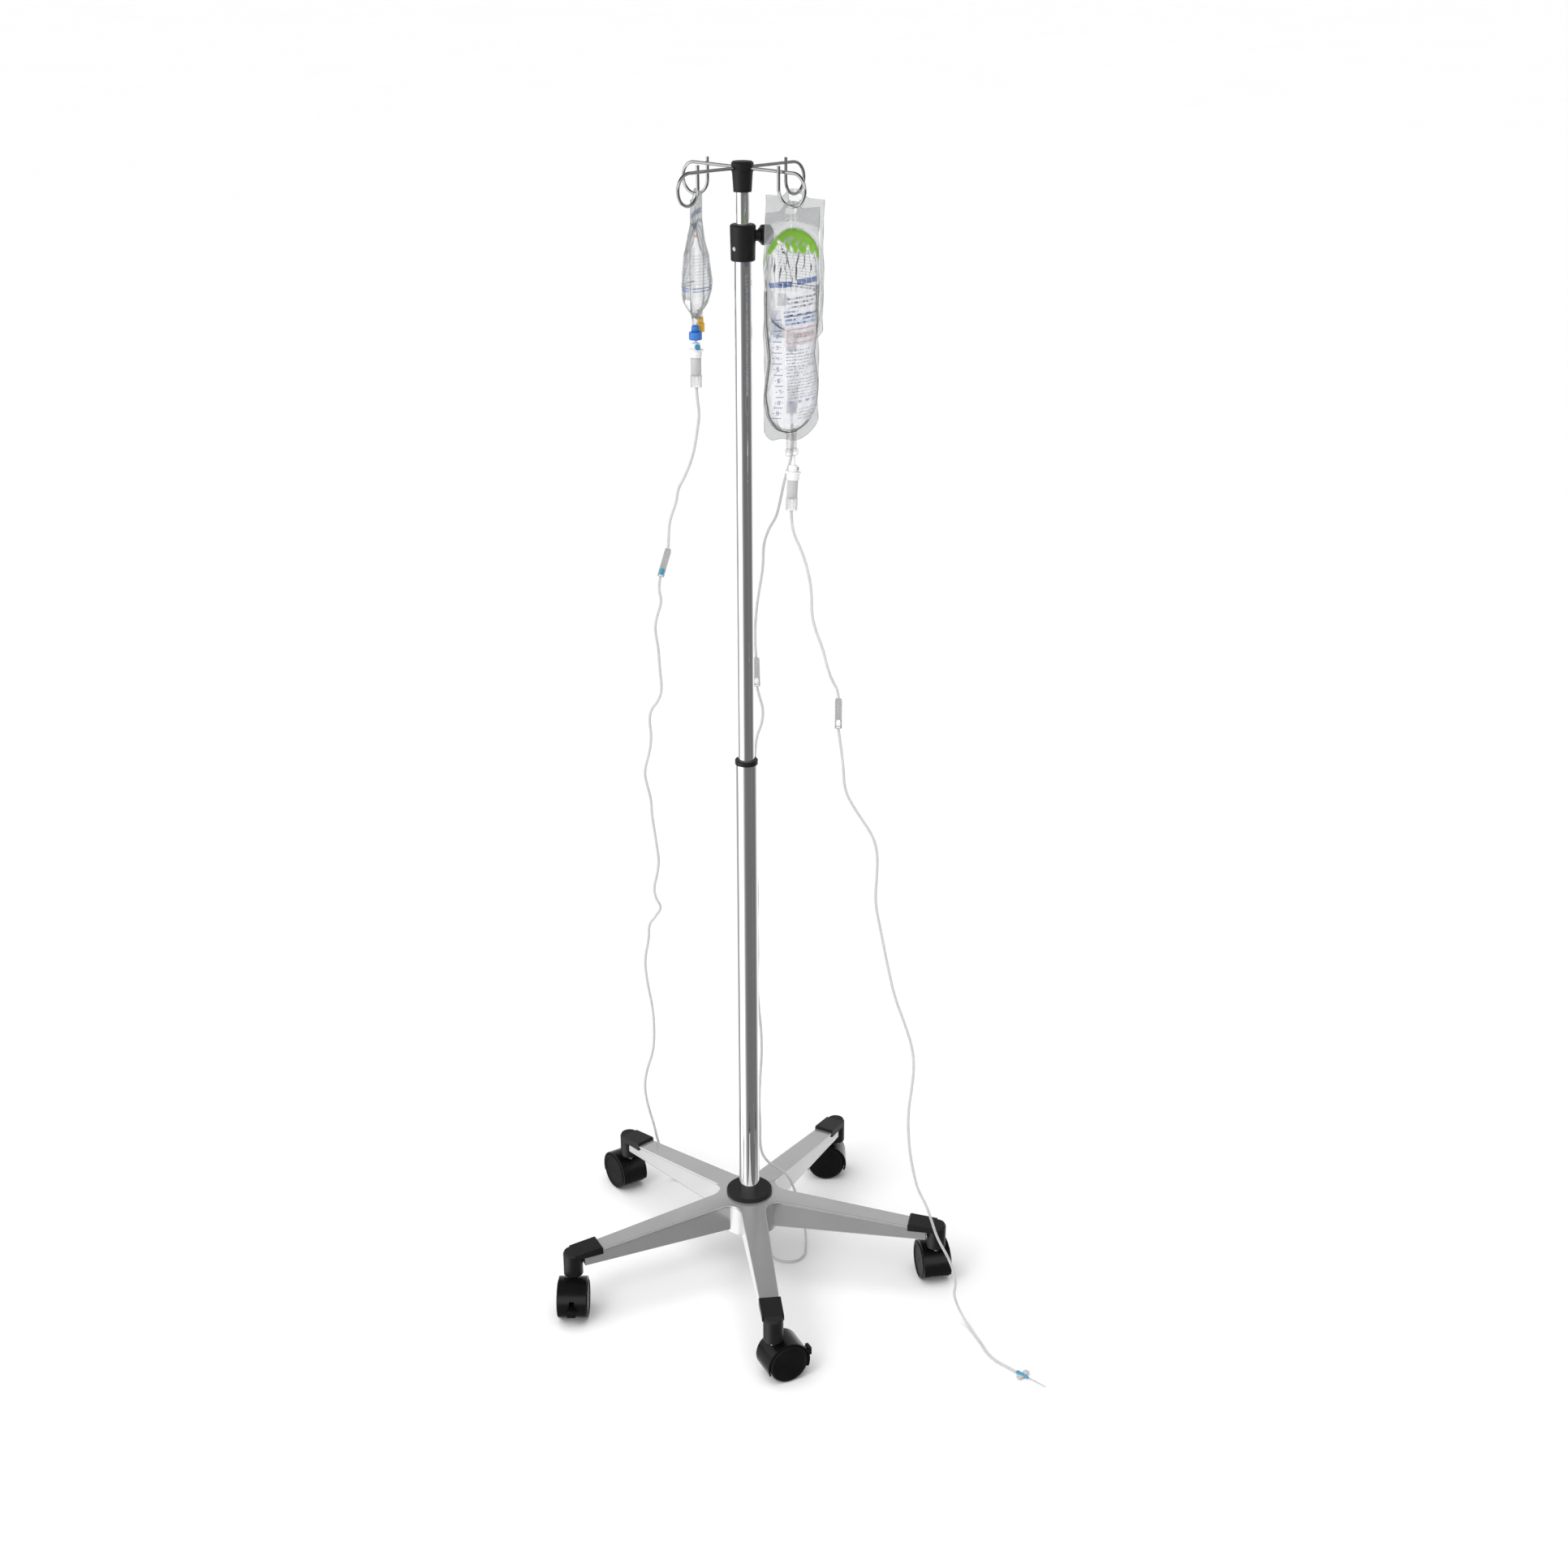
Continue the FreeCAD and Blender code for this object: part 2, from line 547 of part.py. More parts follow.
def make_leg_ends(star):
    stems = []
    for spot, (azimuth, _) in CASTERS.items():
        post, arm, bore = make_leg_end(spot, azimuth)
        solid = cut("cap_bored_" + spot, fused("cap_solid_" + spot, [post, arm]), bore)
        keep(cut("cap_cut_" + spot, solid, star), "leg_cap_" + spot)
        hood_top = "(wheel_dia / 2 + hood_dia / 2 - 4)"
        stem = turned("stem_" + spot, [
            ("0", "stem_low"), ("stem_dia / 2", "stem_low"), ("stem_dia / 2", hood_top),
            ("neck_dia / 2", hood_top), ("neck_dia / 2", "cap_low"),
            ("stem_dia / 2", "cap_low"), ("stem_dia / 2", "stem_high"), ("0", "stem_high")])
        stems.append(seat(stem, around(SIZES["stem_circle"], azimuth)))
    keep(grouped("stems", stems), "caster_stems")


# --------------------------------------------------------------------- casters

SIDEWAYS = FreeCAD.Rotation(FreeCAD.Vector(1, 0, 0), -90)


def cross_rod(name, diameter, half_length, ahead, height):
    """A cylinder lying across the caster, centred on its middle plane."""
    item = rod(name, diameter, "2 * (%s)" % half_length)
    spot = FreeCAD.Vector(size(ahead), -size(half_length), size(height))
    item.Placement = FreeCAD.Placement(spot, SIDEWAYS)
    return item


def make_hood(spot, braked):
    """The caster's moulded body: a hood over both wheels and a web between them."""
    drum = cross_rod("drum_" + spot, "hood_dia", "hood_span / 2", "trail", "wheel_dia / 2")
    below = block("below_" + spot, "2 * hood_dia", "2 * hood_dia", "2 * hood_low")
    seat(below, (-size("hood_dia"), -size("hood_dia"), -size("hood_low")))
    tools = [below]
    for side in (1, -1):
        well = rod("well_%s_%d" % (spot, side), "well_dia", "hood_span")
        start = size("web_half") if side > 0 else -size("web_half + hood_span")
        well.Placement = FreeCAD.Placement(
            FreeCAD.Vector(size("trail"), start, size("wheel_dia / 2")), SIDEWAYS)
        tools.append(well)
    bore = rod("hood_bore_" + spot, "stem_dia + 2 * slide_gap", "wheel_dia")
    tools.append(seat(bore, (0, 0, size("stem_low"))))
    recess = rod("recess_" + spot, "neck_dia + 1", "wheel_dia")
    tools.append(seat(recess, (0, 0, size("wheel_dia / 2 + hood_dia / 2 - 4 - neck_gap"))))
    tools.append(cross_rod("axle_hole_" + spot, "axle_dia", "web_half + 1", "trail",
                           "wheel_dia / 2"))
    if braked:
        slot = block("slot_" + spot, "slot_end - slot_start", "2 * slot_half",
                     "slot_high - slot_low")
        tools.append(seat(slot, (size("slot_start"), -size("slot_half"), size("slot_low"))))
    return cut("hood_" + spot, drum, fused("hood_tools_" + spot, tools))


def make_wheels(spot):
    """Two wheels on one axle, each dished on its outer face."""
    outer, face = "wheel_dia / 2", "wheel_span / 2"
    bore = "axle_dia / 2 + slide_gap"
    corners = [(bore, "wheel_inner"), (outer + " - wheel_bevel", "wheel_inner"),
               (outer, "wheel_inner + wheel_bevel"), (outer, face + " - wheel_bevel"),
               (outer + " - wheel_bevel", face), (outer + " - 4", face),
               (outer + " - 5", face + " - 1.2"), ("0", face + " - 1.6"),
               ("0", "axle_half + 0.5"), (bore, "axle_half + 0.5")]
    wheels = []
    for side in (1, -1):
        wheel = turned("wheel_%s_%d" % (spot, side), corners)
        turn = FreeCAD.Rotation(FreeCAD.Vector(1, 0, 0), -90 * side)
        wheel.Placement = FreeCAD.Placement(
            FreeCAD.Vector(size("trail"), 0, size("wheel_dia / 2")), turn)
        wheels.append(wheel)
    return grouped("wheel_pair_" + spot, wheels)


def make_lever(spot):
    """The brake lever: a pivot barrel, an arm through the hood and a paddle."""
    barrel = cross_rod("lever_barrel_" + spot, "lever_root_dia", "lever_half", "lever_pivot",
                       "lever_height")
    arm = block("lever_arm_" + spot, "paddle_end - lever_pivot", "2 * lever_half", "5")
    seat(arm, (size("lever_pivot"), -size("lever_half"), size("lever_height - 2")))
    paddle = block("paddle_" + spot, "paddle_end - paddle_start", "paddle_width",
                   "paddle_high - paddle_low")
    seat(paddle, (size("paddle_start"), -size("paddle_width / 2"), size("paddle_low")))
    return fused("lever_" + spot, [barrel, arm, paddle])


def make_casters():
    for spot, (azimuth, trail) in CASTERS.items():
        stem = around(SIZES["stem_circle"], azimuth)
        braked = spot in BRAKED
        keep(seat(make_hood(spot, braked), stem, trail), "caster_hood_" + spot)
        axle = grouped("axle_group_" + spot, [
            cross_rod("axle_rod_" + spot, "axle_dia", "axle_half", "trail", "wheel_dia / 2")])
        keep(seat(axle, stem, trail), "caster_axle_" + spot)
        keep(seat(make_wheels(spot), stem, trail), "caster_wheels_" + spot)
        if braked:
            keep(seat(make_lever(spot), stem, trail), "brake_lever_" + spot)


# ------------------------------------------------------------------- drip bags

def bladder(letter):
    """The filled part of a bag: elliptical sections lofted from top seam to bottom."""
    rings = []
    for number, (drop, wide, deep) in enumerate(BLADDERS[letter]):
        ring = document.addObject("Part::Ellipse", "bladder_%s_%d" % (letter, number))
        bind(ring, MajorRadius="bag_%s_width * %g / 2" % (letter, wide),
             MinorRadius="bag_%s_depth * %g / 2" % (letter, deep))
        rings.append(seat(ring, (0, 0, -drop)))
    loft = document.addObject("Part::Loft", "bladder_" + letter)
    loft.Sections = rings
    loft.Solid = True
    loft.Ruled = False
    return loft


def film(letter):
    """The welded film: a flat sheet with an arched hanger strip and its slot."""
    wide = "bag_%s_width" % letter
    sheet_piece = block("film_" + letter, wide, "film_thick", "bag_%s_seam - header_drop" % letter)
    seat(sheet_piece, (-size(wide) / 2, -size("film_thick") / 2, -size("bag_%s_seam" % letter)))
    arch = block("arch_" + letter, "arch_width", "film_thick", "arch_over + header_drop + 6")
    seat(arch, (-size("arch_width") / 2, -size("film_thick") / 2, -size("header_drop + 6")))
    slot = block("slot_tool_" + letter, "slot_width", "4 * film_thick", "slot_tall")
    seat(slot, (-size("slot_width") / 2, -2 * size("film_thick"), -size("slot_tall")))
    notch = rod("notch_" + letter, "2 * slot_over", "8 * film_thick")
    bag = BAGS[letter]
    wire_turn = math.radians(HOOKS[bag["hook"]] + size("loop_turn") - bag["facing"])
    along = FreeCAD.Vector(math.cos(wire_turn), math.sin(wire_turn), 0)
    seat(notch, tuple(along * -4 * size("film_thick")), tilt=tuple(along))
    return [sheet_piece, arch], fused("slot_and_notch_" + letter, [slot, notch])


def port(letter, number, diameter, spot, top, low):
    """A port tube below a bag, between two drops."""
    item = rod("port_%s_%d" % (letter, number), diameter, str(low - top))
    return seat(item, (spot[0], spot[1], -low))


def make_bag(letter):
    pieces, slot = film(letter)
    pieces.append(bladder(letter))
    spot = BAGS[letter]["port"]
    seam = size("bag_%s_seam" % letter)
    if letter == "a":
        pieces.append(port(letter, 0, "port_dia", spot, seam - 12, 188))
        pieces.append(port(letter, 1, "7", (10, -2), seam - 12, 181))
    else:
        low = PORT_END[letter]
        pair = block("port_pair_" + letter, "port_pair_wide", "port_pair_deep",
                     str(low - 9 - (seam - 16)))
        seat(pair, (spot[0] - size("port_pair_wide / 2"), -size("port_pair_deep / 2"),
                    9 - low))
        pieces.append(pair)
        pieces.append(port(letter, 0, "port_cap_dia", spot, low - 10, low))
    bag = cut("bag_cut_" + letter, fused("bag_solid_" + letter, pieces), slot)
    place = hook_low_point(BAGS[letter]["hook"])
    keep(seat(bag, place, BAGS[letter]["facing"]), "bag_" + letter)
    if letter == "a":
        caps = grouped("caps_a", [port(letter, 2, "18.5", spot, 188, PORT_END[letter]),
                                  port(letter, 3, "10", (10, -2), 181, 191)])
        keep(seat(caps, place, BAGS[letter]["facing"]), "port_caps_a")


def make_chamber(letter):
    """A drip chamber with its cap, spike and outlet, hung below a bag's port."""
    spike = CAP_TOP[letter] - PORT_END[letter]
    corners = [("0", str(spike)), ("spike_dia / 2", str(spike)), ("spike_dia / 2", "0"),
               ("dome_dia / 2", "0"), ("dome_dia / 2 + 1", "-flange_top"),
               ("flange_dia / 2", "-flange_top"), ("flange_dia / 2", "-flange_low"),
               ("ring_dia / 2", "-flange_low"), ("ring_dia / 2", "-ring_low"),
               ("barrel_dia / 2", "-ring_low"), ("barrel_dia / 2", "-barrel_low"),
               ("outlet_dia / 2", "-barrel_low"), ("outlet_dia / 2", "-outlet_low"),
               ("0", "-outlet_low")]
    chamber = turned("chamber_" + letter, corners)
    place = chamber_axis(letter)
    seat(chamber, (place[0], place[1], place[2] - CAP_TOP[letter]))
    keep(chamber, "drip_chamber_" + letter)


def chamber_axis(letter):
    """A point of the drip chamber's axis, at the height of the hook wire."""
    pivot = hook_low_point(BAGS[letter]["hook"])
    turn = math.radians(BAGS[letter]["facing"])
    across, deep = BAGS[letter]["port"]
    return (pivot[0] + across * math.cos(turn) - deep * math.sin(turn),
            pivot[1] + across * math.sin(turn) + deep * math.cos(turn), pivot[2])


# ------------------------------------------------------- tubing and its fittings

def tube_wire(points):
    """Straight runs joined by tangent arcs, and the smallest arc's radius."""
    spots = [FreeCAD.Vector(*point) for point in points]
    edges, at, smallest = [], spots[0], math.inf
    for before, corner, after in zip(spots, spots[1:], spots[2:]):
        into = (corner - before).normalize()
        out = (after - corner).normalize()
        reach = 0.45 * min((corner - before).Length, (after - corner).Length)
        turn = into.getAngle(out)
        smallest = min(smallest, reach / math.tan(turn / 2))
        first, last = corner - into * reach, corner + out * reach
        bisector = (out - into).normalize()
        radius = reach / math.tan(turn / 2)
        centre = corner + bisector * math.hypot(reach, radius)
        middle = centre - bisector * radius
        edges.append(Part.LineSegment(at, first).toShape())
        edges.append(Part.Arc(first, middle, last).toShape())
        at = last
    edges.append(Part.LineSegment(at, spots[-1]).toShape())
    return Part.Wire(edges), smallest


def make_tube(node, points):
    wire, smallest = tube_wire(points)
    tubing = swept(node, "tube_dia", wire)
    section = math.pi * size("tube_dia") ** 2 / 4
    fill = tubing.Shape.Volume / (section * wire.Length)
    print("%s: length %.0f, smallest radius %.1f, volume ratio %.4f"
          % (node, wire.Length, smallest, fill))
    keep(tubing, node)


def make_roller_clamp(letter):
    """A channel-shaped clamp body and the roller that runs along it."""
    top, low = (FreeCAD.Vector(*end) for end in ROLLER_CLAMPS[letter])
    along = tuple((top - low).normalize())
    body = block("clamp_block_" + letter, "clamp_body_wide", "clamp_body_deep",
                 "clamp_body_long")
    seat(body, (-size("clamp_body_wide / 2"), -4.0, 0))
    channel = block("channel_" + letter, "channel_wide", "channel_deep",
                    "clamp_body_long + 2")
    seat(channel, (-size("channel_wide / 2"), -4.0 - 1, -1))
    housing = cut("clamp_housing_" + letter, body, channel)
    floor = (-size("channel_wide / 2"), -4.0, 0)
    keep(seat(housing, tuple(low), tilt=along), "roller_clamp_" + letter)

    roller = rod("roller_rod_" + letter, "roller_dia", "roller_wide")
    roller.Placement = FreeCAD.Placement(
        FreeCAD.Vector(-size("roller_wide / 2"), floor[1] - 1.5, 9.0),
        FreeCAD.Rotation(FreeCAD.Vector(0, 1, 0), 90))
    wheel = grouped("roller_group_" + letter, [roller])
    keep(seat(wheel, tuple(low), tilt=along), "roller_" + letter)


def make_luer_caps():
    """Capped connectors on the free ends of the two tubes that end on the floor."""
    caps = []
    for letter in ("a", "c"):
        before, end = LOWER_ROUTES[letter][-2:]
        ahead = FreeCAD.Vector(*end) - FreeCAD.Vector(*before)
        cap = rod("luer_rod_" + letter, "luer_dia", "luer_long")
        caps.append(seat(cap, (end[0], end[1], size("luer_dia / 2")), tilt=tuple(ahead)))
    keep(grouped("luers", caps), "tube_end_caps")


def make_cannula():
    """The winged cannula on the end of the middle line, lying on the floor."""
    before, end = LOWER_ROUTES["b"][-2:]
    yaw = math.degrees(math.atan2(end[1] - before[1], end[0] - before[0]))
    hub = rod("cannula_hub", "luer_dia", "luer_long")
    hub.Placement = FreeCAD.Placement(
        FreeCAD.Vector(0, 0, size("luer_dia / 2")),
        FreeCAD.Rotation(FreeCAD.Vector(0, 1, 0), 90))
    wings = block("cannula_wings", "wing_long", "wing_span", "wing_thick")
    seat(wings, (size("luer_long / 2"), -size("wing_span / 2"), size("luer_dia / 2")))
    catheter = rod("catheter", "catheter_dia", "catheter_long + 2")
    catheter.Placement = FreeCAD.Placement(
        FreeCAD.Vector(size("luer_long - 2"), 0, size("luer_dia / 2")),
        FreeCAD.Rotation(FreeCAD.Vector(0, 1, 0), 90))
    whole = fused("cannula_solid", [hub, wings, catheter])
    keep(seat(whole, (end[0], end[1], 0), yaw), "cannula")


def check_parts():
    """Stop if any object failed or any sub-part has no valid shape."""
    document.recompute()
    failed = [item.Name for item in document.Objects
              if "Invalid" in item.State or "Error" in item.State]
    if failed:
        raise RuntimeError("failed objects: %s" % failed)
    for item in parts:
        if item.Shape.isNull() or not item.Shape.isValid() or not item.Shape.Solids:
            raise RuntimeError("no valid shape: %s" % item.Label)
    if len({item.Label for item in parts}) != len(parts):
        raise RuntimeError("two sub-parts share a label")


def write_parts():
    os.makedirs("parts", exist_ok=True)
    for item in parts:
        item.Shape.exportStep(os.path.join("parts", item.Label + ".step"))
    print("%d sub-parts written" % len(parts))


def main():
    fill_sheet()
    star = make_star()
    make_disc()
    make_pole()
    make_clamp()
    make_head()
    make_leg_ends(star)
    make_casters()
    for letter in BAGS:
        make_bag(letter)
        make_chamber(letter)
        make_roller_clamp(letter)
        make_tube("tube_%s_upper" % letter, UPPER_ROUTES[letter])
        make_tube("tube_%s_lower" % letter, LOWER_ROUTES[letter])
    make_luer_caps()
    make_cannula()
    check_parts()
    write_parts()


main()
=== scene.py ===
import math
import random

import bmesh
import bpy
import numpy as np
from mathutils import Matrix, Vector


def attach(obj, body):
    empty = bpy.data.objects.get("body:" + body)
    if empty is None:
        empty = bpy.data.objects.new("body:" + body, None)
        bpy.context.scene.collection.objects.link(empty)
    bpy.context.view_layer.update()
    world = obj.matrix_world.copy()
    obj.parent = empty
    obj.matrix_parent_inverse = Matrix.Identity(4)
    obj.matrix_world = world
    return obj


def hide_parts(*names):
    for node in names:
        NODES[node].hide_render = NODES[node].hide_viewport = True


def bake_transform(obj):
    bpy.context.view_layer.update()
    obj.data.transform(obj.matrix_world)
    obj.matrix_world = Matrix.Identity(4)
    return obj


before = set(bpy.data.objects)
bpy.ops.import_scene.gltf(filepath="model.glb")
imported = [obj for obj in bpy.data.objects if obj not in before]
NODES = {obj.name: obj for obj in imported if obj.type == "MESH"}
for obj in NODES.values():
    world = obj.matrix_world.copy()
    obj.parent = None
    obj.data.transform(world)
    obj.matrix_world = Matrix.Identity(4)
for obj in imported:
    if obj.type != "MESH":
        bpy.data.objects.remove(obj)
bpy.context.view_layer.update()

# Infusion stand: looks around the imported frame. Metres, +Z up, origin on the floor
# under the pole's axis.

rng = random.Random(7)


# ---------------------------------------------------------------------- camera

CAMERA_PLACE = (0.055, -2.972, 2.032)
CAMERA_TILT = 67.97
LENS_MM, SENSOR_MM = 50.0, 36.0


def make_camera():
    data = bpy.data.cameras.new("view")
    data.lens = LENS_MM
    data.sensor_width = SENSOR_MM
    camera = bpy.data.objects.new("view", data)
    camera.location = CAMERA_PLACE
    camera.rotation_euler = (math.radians(CAMERA_TILT), 0.0, 0.0)
    bpy.context.scene.collection.objects.link(camera)
    bpy.context.scene.camera = camera


make_camera()


# ------------------------------------------------------------- node materials

def new_material(name):
    """An empty node material, its tree and its output."""
    material = bpy.data.materials.new(name)
    material.use_nodes = True
    tree = material.node_tree
    tree.nodes.clear()
    output = tree.nodes.new("ShaderNodeOutputMaterial")
    return material, tree, output


def node(tree, kind, values=None, **attributes):
    """A shader node with its attributes and its sockets' values set."""
    item = tree.nodes.new(kind)
    for key, value in attributes.items():
        setattr(item, key, value)
    for key, value in (values or {}).items():
        item.inputs[key].default_value = value
    return item


def link(tree, source, target):
    tree.links.new(source, target)


def noise(tree, scale, detail=4.0, stretch=(1, 1, 1), roughness=0.55):
    """Noise over the frame's own coordinates, stretched along an axis."""
    place = node(tree, "ShaderNodeTexCoord")
    spread = node(tree, "ShaderNodeMapping")
    spread.inputs["Scale"].default_value = stretch
    link(tree, place.outputs["Object"], spread.inputs["Vector"])
    grain = node(tree, "ShaderNodeTexNoise",
                 {"Scale": scale, "Detail": detail, "Roughness": roughness})
    link(tree, spread.outputs["Vector"], grain.inputs["Vector"])
    return grain.outputs["Fac"]


def ranged(tree, value, low, high, start=0.3, end=0.7):
    """A value mapped from start..end to low..high."""
    item = node(tree, "ShaderNodeMapRange",
                {"From Min": start, "From Max": end, "To Min": low, "To Max": high})
    link(tree, value, item.inputs["Value"])
    return item.outputs["Result"]


def ramp(tree, value, stops):
    """A colour ramp with (place, colour) stops."""
    item = node(tree, "ShaderNodeValToRGB")
    elements = item.color_ramp.elements
    while len(elements) < len(stops):
        elements.new(0.5)
    for element, (place, colour) in zip(elements, stops):
        element.position = place
        element.color = (*colour, 1.0)
    link(tree, value, item.inputs["Fac"])
    return item.outputs["Color"]


def bump(tree, height, strength, distance):
    item = node(tree, "ShaderNodeBump", {"Strength": strength, "Distance": distance})
    link(tree, height, item.inputs["Height"])
    return item.outputs["Normal"]


def mixed(tree, share, first, second):
    """Two shaders mixed, by the share of the second."""
    item = node(tree, "ShaderNodeMixShader")
    link(tree, share, item.inputs["Fac"])
    link(tree, first.outputs[0], item.inputs[1])
    link(tree, second.outputs[0], item.inputs[2])
    return item


def edgeward(tree):
    """0 where a surface is seen face on, 1 where it is seen edge on."""
    return node(tree, "ShaderNodeLayerWeight", {"Blend": 0.5}).outputs["Facing"]


def grey(value):
    return (value, value, value)


def solid(name, dark, light, rough, colour_scale=9.0, bump_scale=900.0, depth=0.00004,
          strength=0.35, stretch=(1, 1, 1), soft_edge=0.0, **fixed):
    """A Principled surface whose colour, roughness and grain come from noise."""
    material, tree, output = new_material(name)
    shader = node(tree, "ShaderNodeBsdfPrincipled", fixed)
    cloud = noise(tree, colour_scale, 5.0, stretch)
    link(tree, ramp(tree, cloud, [(0.3, dark), (0.7, light)]), shader.inputs["Base Color"])
    smear = noise(tree, colour_scale * 7, 6.0, stretch)
    link(tree, ranged(tree, smear, *rough), shader.inputs["Roughness"])
    grain = noise(tree, bump_scale, 3.0, stretch)
    normal = bump(tree, grain, strength, depth)
    link(tree, normal, shader.inputs["Normal"])
    if soft_edge:
        softened = node(tree, "ShaderNodeBevel", {"Radius": soft_edge}, samples=6)
        link(tree, softened.outputs["Normal"], normal.node.inputs["Normal"])
    link(tree, shader.outputs[0], output.inputs["Surface"])
    return material


CHROME = solid("chrome", grey(0.87), grey(0.91), (0.03, 0.045), 6.0, 300.0, 0.0000002,
               0.03, (6, 6, 1), Metallic=1.0)
WIRE = solid("chrome_wire", grey(0.46), grey(0.52), (0.05, 0.09), 20.0, 700.0, 0.0000002, 0.05,
             Metallic=1.0)
CAST = solid("cast_aluminium", grey(0.64), grey(0.69), (0.17, 0.22), 9.0, 1400.0, 0.000002,
             0.15, soft_edge=0.0016, Metallic=0.77)
BLACK = solid("black_plastic", grey(0.007), grey(0.011), (0.36, 0.46), 25.0, 2400.0,
              **{"Specular IOR Level": 0.3})
CASTER = solid("caster_plastic", grey(0.003), grey(0.005), (0.2, 0.3), 30.0, 2400.0,
               **{"Specular IOR Level": 0.35})
TREAD = solid("wheel_rubber", grey(0.004), grey(0.007), (0.42, 0.55), 40.0, 2000.0,
              **{"Specular IOR Level": 0.15})
STEEL = solid("steel", grey(0.5), grey(0.6), (0.2, 0.3), 50.0, 1600.0, 0.00001, 0.3,
              Metallic=1.0)
WHITE = solid("white_plastic", grey(0.78), grey(0.85), (0.25, 0.35), 60.0, 3000.0)
BLUE = solid("blue_plastic", (0.03, 0.15, 0.5), (0.045, 0.2, 0.6), (0.25, 0.34), 60.0, 3000.0)
ORANGE = solid("orange_plastic", (0.74, 0.42, 0.035), (0.86, 0.52, 0.07), (0.25, 0.34), 60.0,
               3000.0)
TEAL = solid("teal_plastic", (0.03, 0.24, 0.42), (0.045, 0.32, 0.5), (0.25, 0.34), 60.0, 3000.0)


def clear(name, tint, body, edge, rough, index=1.45, scale=30.0):
    """Clear moulded plastic: see-through face on and glossier towards its edges, with painted shade
    there: its grey colour, mixed in by facing, stands in for the darker refraction at the edges.
    """
    material, tree, output = new_material(name)
    through = node(tree, "ShaderNodeBsdfTransparent", {"Color": (*tint, 1.0)})
    shader = node(tree, "ShaderNodeBsdfPrincipled", {"IOR": index})
    cloud = noise(tree, scale, 4.0)
    link(tree, ramp(tree, cloud, [(0.3, tuple(0.92 * c for c in body)), (0.7, body)]),
         shader.inputs["Base Color"])
    link(tree, ranged(tree, cloud, *rough), shader.inputs["Roughness"])
    link(tree, bump(tree, noise(tree, scale * 12, 3.0), 0.2, 0.00005), shader.inputs["Normal"])
    # Painted shade: the grey base colour takes over towards the edges in place of darker refraction.
    painted_edge_shade = ranged(tree, edgeward(tree), edge[0], edge[1], 0.2, 0.95)
    whole = mixed(tree, painted_edge_shade, through, shader)
    link(tree, whole.outputs[0], output.inputs["Surface"])
    return material


CLEAR = clear("clear_plastic", grey(0.99), grey(0.55), (0.02, 0.6), (0.08, 0.16))
TUBING = clear("clear_tubing", grey(0.96), grey(0.64), (0.66, 0.94), (0.2, 0.3))
FROSTED = clear("frosted_plastic", grey(0.9), grey(0.6), (0.8, 0.97), (0.4, 0.55))
SHELL = clear("clamp_shell", grey(0.93), grey(0.42), (0.4, 0.9), (0.2, 0.3))
# Painted shade: a near-black bead that stands in for the dark refracted line along the weld.
WELD_PAINTED_SHADE = clear("film_weld", grey(0.9), grey(0.05), (0.3, 0.92), (0.06, 0.12), 1.5)


def liquid_material():
    """Clear liquid behind film: bright face on, with painted shade at its edge, a near-black surface
    mixed in by facing in place of the dark refracted line.
    """
    material, tree, output = new_material("infusion_liquid")
    through = node(tree, "ShaderNodeBsdfTransparent", {"Color": (0.985, 0.99, 0.995, 1.0)})
    shader = node(tree, "ShaderNodeBsdfPrincipled",
                  {"IOR": 1.34, "Base Color": (0.03, 0.032, 0.035, 1)})
    link(tree, ranged(tree, noise(tree, 40.0), 0.04, 0.1), shader.inputs["Roughness"])
    link(tree, bump(tree, noise(tree, 60.0, 2.0), 0.1, 0.0003), shader.inputs["Normal"])
    # Painted shade: near-black mixed in towards the edge, standing in for refraction.
    edge = ramp(tree, edgeward(tree), [(0.0, grey(0.02)), (0.62, grey(0.04)),
                                       (0.82, grey(0.7)), (1.0, grey(0.35))])
    whole = mixed(tree, edge, through, shader)
    link(tree, whole.outputs[0], output.inputs["Surface"])
    return material


LIQUID = liquid_material()


def film_material():
    """Bag film: clear and glossy, printed from the mesh's ink, with painted shade at its rim: a dark
    grey surface mixed in by facing in place of darker refraction.
    """
    material, tree, output = new_material("bag_film")
    through = node(tree, "ShaderNodeBsdfTransparent", {"Color": (0.985, 0.985, 0.985, 1.0)})
    painted_rim_shade = node(tree, "ShaderNodeBsdfPrincipled", {"IOR": 1.5, "Base Color": (0.2, 0.21, 0.22, 1)})
    printed = node(tree, "ShaderNodeBsdfPrincipled", {"IOR": 1.5})
    ink = node(tree, "ShaderNodeAttribute", attribute_name="ink")
    link(tree, ink.outputs["Color"], printed.inputs["Base Color"])
    rough = ranged(tree, noise(tree, 30.0), 0.08, 0.2)
    creased = bump(tree, noise(tree, 70.0, 5.0, (1, 1, 0.4), 0.55), 0.2, 0.0006)
    for shader in (painted_rim_shade, printed):
        link(tree, rough, shader.inputs["Roughness"])
        link(tree, creased, shader.inputs["Normal"])
    # Painted shade: the dark grey rim shader takes over as the film turns edge on.
    glass = mixed(tree, ranged(tree, edgeward(tree), 0.01, 0.62, 0.36, 0.9), through, painted_rim_shade)
    whole = mixed(tree, ink.outputs["Alpha"], glass, printed)
    link(tree, whole.outputs[0], output.inputs["Surface"])
    return material


FILM = film_material()


